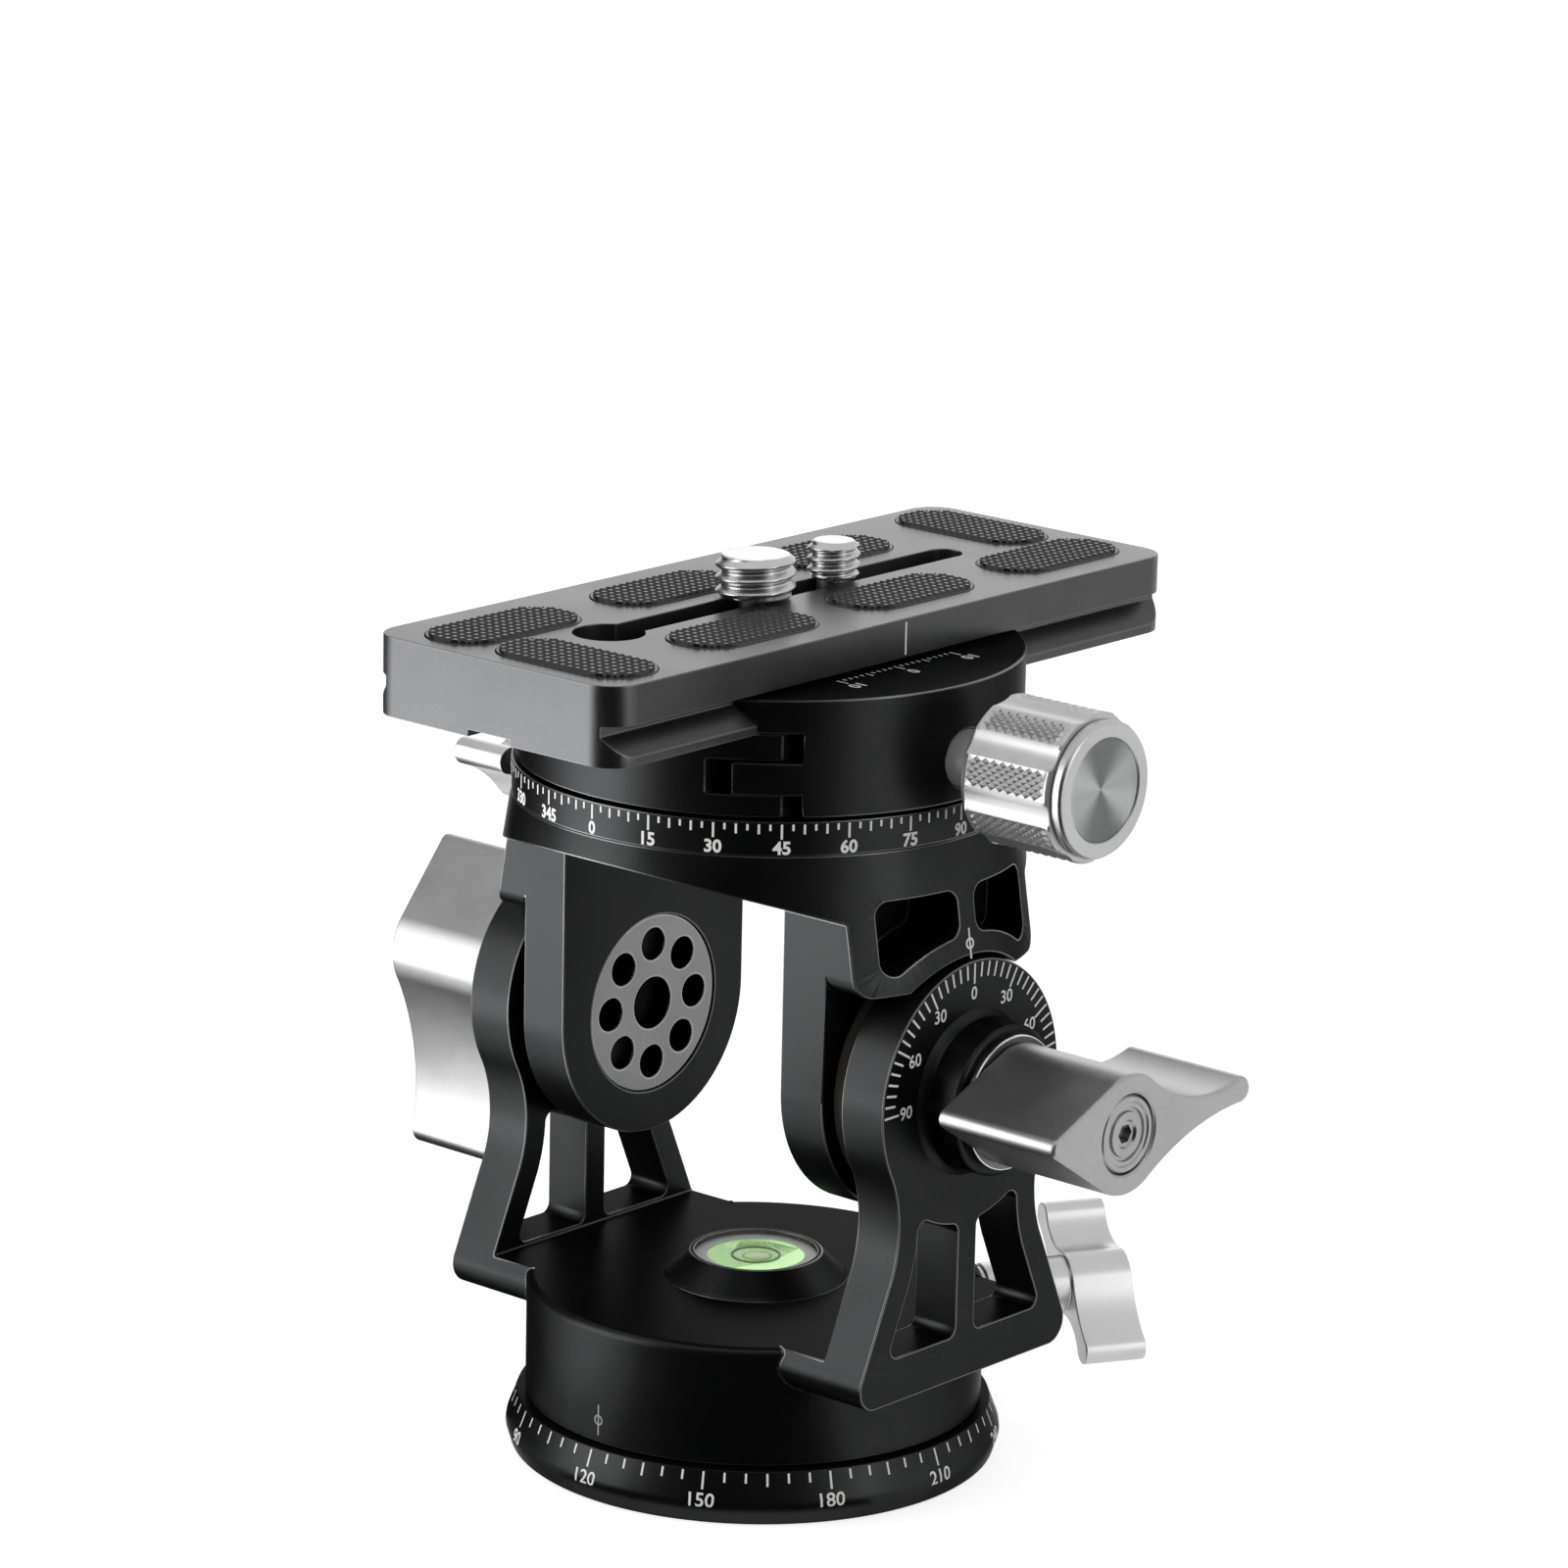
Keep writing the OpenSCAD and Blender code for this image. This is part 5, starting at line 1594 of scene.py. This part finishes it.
@dataclass
class CameraScrews(Assembly):
    """Large and small camera screw in the plate's slot, with cut threads and slotted heads."""

    sizes: tuple[ScrewSize, ...] = (
        ScrewSize("large_camera_thread", "large_screw", Body.LARGE_SCREW, -2.5, 4.7625, 1.5875, 110.2),
        ScrewSize("small_camera_thread", "small_screw", Body.SMALL_SCREW, 11.4, 3.175, 1.27, 109.7))
    head_r: float = 6.3
    head_low: float = 97.8
    head_high: float = 100.2
    neck: float = 2.0
    collar_z: float = 105.2
    thread_z: float = 105.5
    slot: float = 1.6
    slot_depth: float = 1.0
    slot_over: float = 1.0
    smooth: float = 50.0
    foot_edge: float = 0.35
    head_edge: float = 0.2
    collar_in: float = 0.5
    collar_edge: float = 0.15
    thread_gap: float = 0.05
    thread_deep: float = 0.48
    rows_per_turn: int = 12
    round_steps: int = 96
    tip_in: float = 0.45
    tip_least: float = 1.2
    tip_chamfer: Flat = (0.85, 1.3)
    low_chamfer: Flat = (0.45, 1.6)

    def build(self) -> None:
        """Make both screws."""
        for size in self.sizes:
            self.screw(size)

    def screw(self, size: ScrewSize) -> None:
        """Make one screw."""
        r, root = size.radius, size.radius - self.thread_deep * size.pitch
        foot, edge, collar_r = self.foot_edge, self.head_edge, size.radius - self.collar_in
        rows: list[Row] = [(self.head_low, self.head_r - foot), (self.head_low + foot, self.head_r),
                           (self.head_high - edge, self.head_r), (self.head_high, self.head_r - edge),
                           (self.head_high, self.neck), (self.collar_z, self.neck),
                           (self.collar_z, collar_r - self.collar_edge),
                           (self.collar_z + self.collar_edge, collar_r),
                           (self.thread_z - self.thread_gap, collar_r)]
        steps = math.ceil((size.top - self.thread_z) / (size.pitch / self.rows_per_turn))
        for i in range(steps + 1):
            z = self.thread_z + (size.top - self.thread_z) * i / steps
            rows.append((z, self.ended(size, thread_radius(size.pitch, root, r, z), z)))
        rows.append((size.top, max(root - self.tip_in, self.tip_least)))
        shell = Shell()
        shell.lathe(Axis.Z, (0, size.y), rows, full_turn(self.round_steps))
        piece = shell.solid(size.name, self.smooth)
        self.cut_slot(piece, size.y)
        self.fit(piece, size.body, Finishes.STEEL, Slot.STEEL, [size.node])

    def ended(self, size: ScrewSize, thread: Reach, z: float) -> Reach:
        """Give the thread's radius with the chamfers of both its ends.

        Args:
            size: Sizes of the screw.
            thread: Radius as a function of the turn.
            z: Height of the row.

        Returns:
            The radius as a function of the turn.
        """
        ends = ((self.tip_chamfer, size.top - z), (self.low_chamfer, z - self.thread_z))
        limit = min(size.radius - inward + slope * away for (inward, slope), away in ends)
        return lambda angle: min(thread(angle), limit)

    def cut_slot(self, piece: Object, y: float) -> None:
        """Cut the driver slot into the head's underside."""
        shell = Shell()
        corners = rectangle(self.slot, 2 * (self.head_r + self.slot_over))
        loops = [shell.loop((px, y + py, z) for px, py in corners)
                 for z in (self.head_low - self.slot_over, self.head_low + self.slot_depth)]
        shell.bridge(*loops)
        shell.faces += [tuple(loops[0]), tuple(loops[1])]
        cutter = shell.solid("slot_cutter", 30)
        cut = piece.modifiers.new("cut slot", "BOOLEAN")
        cut.operation = "DIFFERENCE"
        cut.object = cutter
        shape = bpy.data.meshes.new_from_object(piece.evaluated_get(bpy.context.evaluated_depsgraph_get()))
        piece.modifiers.clear()
        piece.data = shape
        shape.shade_smooth()
        shape.set_sharp_from_angle(angle=math.radians(self.smooth))
        bpy.data.objects.remove(cutter)


# ---------------------------------------------------------------- studio


@dataclass(frozen=True)
class SoftBox:
    """Square lamp that looks at the head."""

    name: str
    place: Point
    aim: Point
    width: float
    height: float
    radiance: float

    def hang(self) -> None:
        """Make the lamp."""
        lamp = bpy.data.lights.new(self.name, "AREA")
        lamp.shape = "RECTANGLE"
        lamp.size, lamp.size_y = self.width, self.height
        lamp.energy = self.radiance * math.pi * self.width * self.height
        holder = linked(self.name, lamp)
        holder.location = self.place
        look = Vector(self.aim) - Vector(self.place)
        holder.rotation_euler = look.to_track_quat("-Z", "Y").to_euler()
        holder.visible_camera = False


@dataclass
class Studio:
    """White floor and surroundings, soft lamps and the camera."""

    lamps: tuple[SoftBox, ...] = (
        SoftBox("key", (-0.3, -0.4, 0.17), (0.0, 0.0, 0.06), 0.34, 0.34, 3.4),
        SoftBox("low panel", (-0.2, -0.235, 0.004), (-0.2, -0.235, 0.1), 0.2, 0.3, 7.0),
        SoftBox("near left panel", (-0.06, -0.075, 0.004), (-0.06, -0.075, 0.1), 0.08, 0.08, 1.6),
        SoftBox("back", (-0.42, 0.49, 0.27), (0.0, 0.0, 0.1), 0.34, 0.24, 0.9),
        SoftBox("strip", (0.5, 0.05, 0.17), (0.0, 0.0, 0.06), 0.1, 0.34, 3.0))
    lens: float = 148.79
    place: Point = (0.486766, -0.555617, 0.276882)
    right: Point = (0.75038886, 0.66067695, 0.02055524)
    up: Point = (-0.18354166, 0.17838835, 0.96669026)
    back: Point = (0.63500316, -0.72916635, 0.25512238)
    card_r: float = 0.3
    card_h: float = 0.3
    card_in: float = 0.031
    card_z: float = 0.0006
    card_steps: int = 24
    cards: tuple[Flat, ...] = ((-102.0, -18.0), (156.0, 212.0))
    ambient: float = 0.6
    floor_colour: Colour = (0.55, 0.55, 0.55)
    floor_glow: float = 0.76
    floor_half: float = 6.0
    floor_z: float = -0.00005
    sensor: float = 36.0
    clip: Flat = (0.01, 50.0)

    def build(self) -> None:
        """Set up the room."""
        bpy.context.scene.view_settings.view_transform = "Standard"
        for lamp in self.lamps:
            lamp.hang()
        for number, span in enumerate(self.cards):
            self.dark_card(number, span)
        self.surroundings()
        self.floor()
        self.camera()

    def seen(self, tree: Tree) -> Socket:
        """Add what is 1 for rays from the camera, from gloss and through glass, and 0 for the rest.

        Args:
            tree: Node tree of the floor or the surroundings.

        Returns:
            The value.
        """
        path = tree.nodes.new("ShaderNodeLightPath")
        value = path.outputs["Is Camera Ray"]
        for key in ("Is Glossy Ray", "Is Transmission Ray"):
            most = tree.nodes.new("ShaderNodeMath")
            most.operation = "MAXIMUM"
            tree.links.new(value, most.inputs[0])
            tree.links.new(path.outputs[key], most.inputs[1])
            value = most.outputs[0]
        return value

    def scaled(self, tree: Tree, low: float, high: float) -> Socket:
        """Add a value that is high where the ray is seen and low elsewhere, and give its socket."""
        node = tree.nodes.new("ShaderNodeMapRange")
        node.inputs["To Min"].default_value = low
        node.inputs["To Max"].default_value = high
        tree.links.new(self.seen(tree), node.inputs["Value"])
        return node.outputs["Result"]

    def dark_card(self, number: int, span: Flat) -> None:
        """Stand a curved dark card with a foot on the floor, which gives the metal its deep tones.

        Args:
            number: Number of the card.
            span: Its first and last angle round the head in degrees.
        """
        low, high = (math.radians(value) for value in span)
        count, wide = self.card_steps, self.card_steps + 1
        angles = [low + (high - low) * i / count for i in range(wide)]
        rows = ((self.card_in, self.card_z), (self.card_r, self.card_z), (self.card_r, self.card_h))
        points = [(r * math.cos(angle), r * math.sin(angle), z) for r, z in rows for angle in angles]
        starts = [k + i for k in (0, wide) for i in range(count)]
        faces = [(i, i + 1, i + wide + 1, i + wide) for i in starts]
        mesh = bpy.data.meshes.new(f"dark_card_{number}")
        mesh.from_pydata(points, [], faces)
        card = linked(mesh.name, mesh)
        sheet = ShaderSheet(f"dark card {number}")
        sheet.fix({"Base Color": (0.02, 0.02, 0.02, 1), "Roughness": 0.9, "Specular IOR Level": 0.1})
        mesh.materials.append(sheet.material)
        card.visible_camera = card.visible_diffuse = card.visible_shadow = card.visible_transmission = False

    def surroundings(self) -> None:
        """Make the surroundings white to look at and dimmer as a light."""
        world = bpy.data.worlds.new("white room")
        world.use_nodes = True
        shade = world.node_tree.nodes["Background"]
        shade.inputs["Color"].default_value = (1, 1, 1, 1)
        world.node_tree.links.new(self.scaled(world.node_tree, self.ambient, 1.0), shade.inputs["Strength"])
        bpy.context.scene.world = world

    def floor(self) -> None:
        """Make the floor, which keeps the head's shadow."""
        mesh = bpy.data.meshes.new("floor")
        corners = rectangle(2 * self.floor_half, 2 * self.floor_half)
        mesh.from_pydata([(x, y, self.floor_z) for x, y in corners], [], [(0, 1, 2, 3)])
        floor = linked("floor", mesh)
        sheet = ShaderSheet("white floor")
        sheet.fix({"Base Color": (*self.floor_colour, 1), "Roughness": 0.9, "Specular IOR Level": 0.1,
                   "Emission Color": (1, 1, 1, 1)})
        sheet.feed("Emission Strength", self.scaled(sheet.tree, 0.0, self.floor_glow))
        mesh.materials.append(sheet.material)

    def camera(self) -> None:
        """Set the camera at the photograph's place."""
        lens = bpy.data.cameras.new("camera")
        lens.lens, lens.sensor_width = self.lens, self.sensor
        lens.clip_start, lens.clip_end = self.clip
        camera = linked("camera", lens)
        turn = Matrix((self.right, self.up, self.back)).transposed().to_4x4()
        camera.matrix_world = Matrix.Translation(self.place) @ turn
        bpy.context.scene.camera = camera


def main() -> None:
    """Build the sub-assemblies in order."""
    logging.basicConfig(level=logging.INFO, format="%(name)s: %(message)s", stream=sys.stdout)
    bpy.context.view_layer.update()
    paint = Paintbox()
    for part in (BaseDial, Yoke, BubbleLevel, WingedLevers, BigLevers, TiltBracket, PanScale, Clamp,
                 ClampKnob, Plate, RubberPads, CameraScrews):
        part(paint).build()
    Studio().build()


if __name__ == "__main__":
    main()
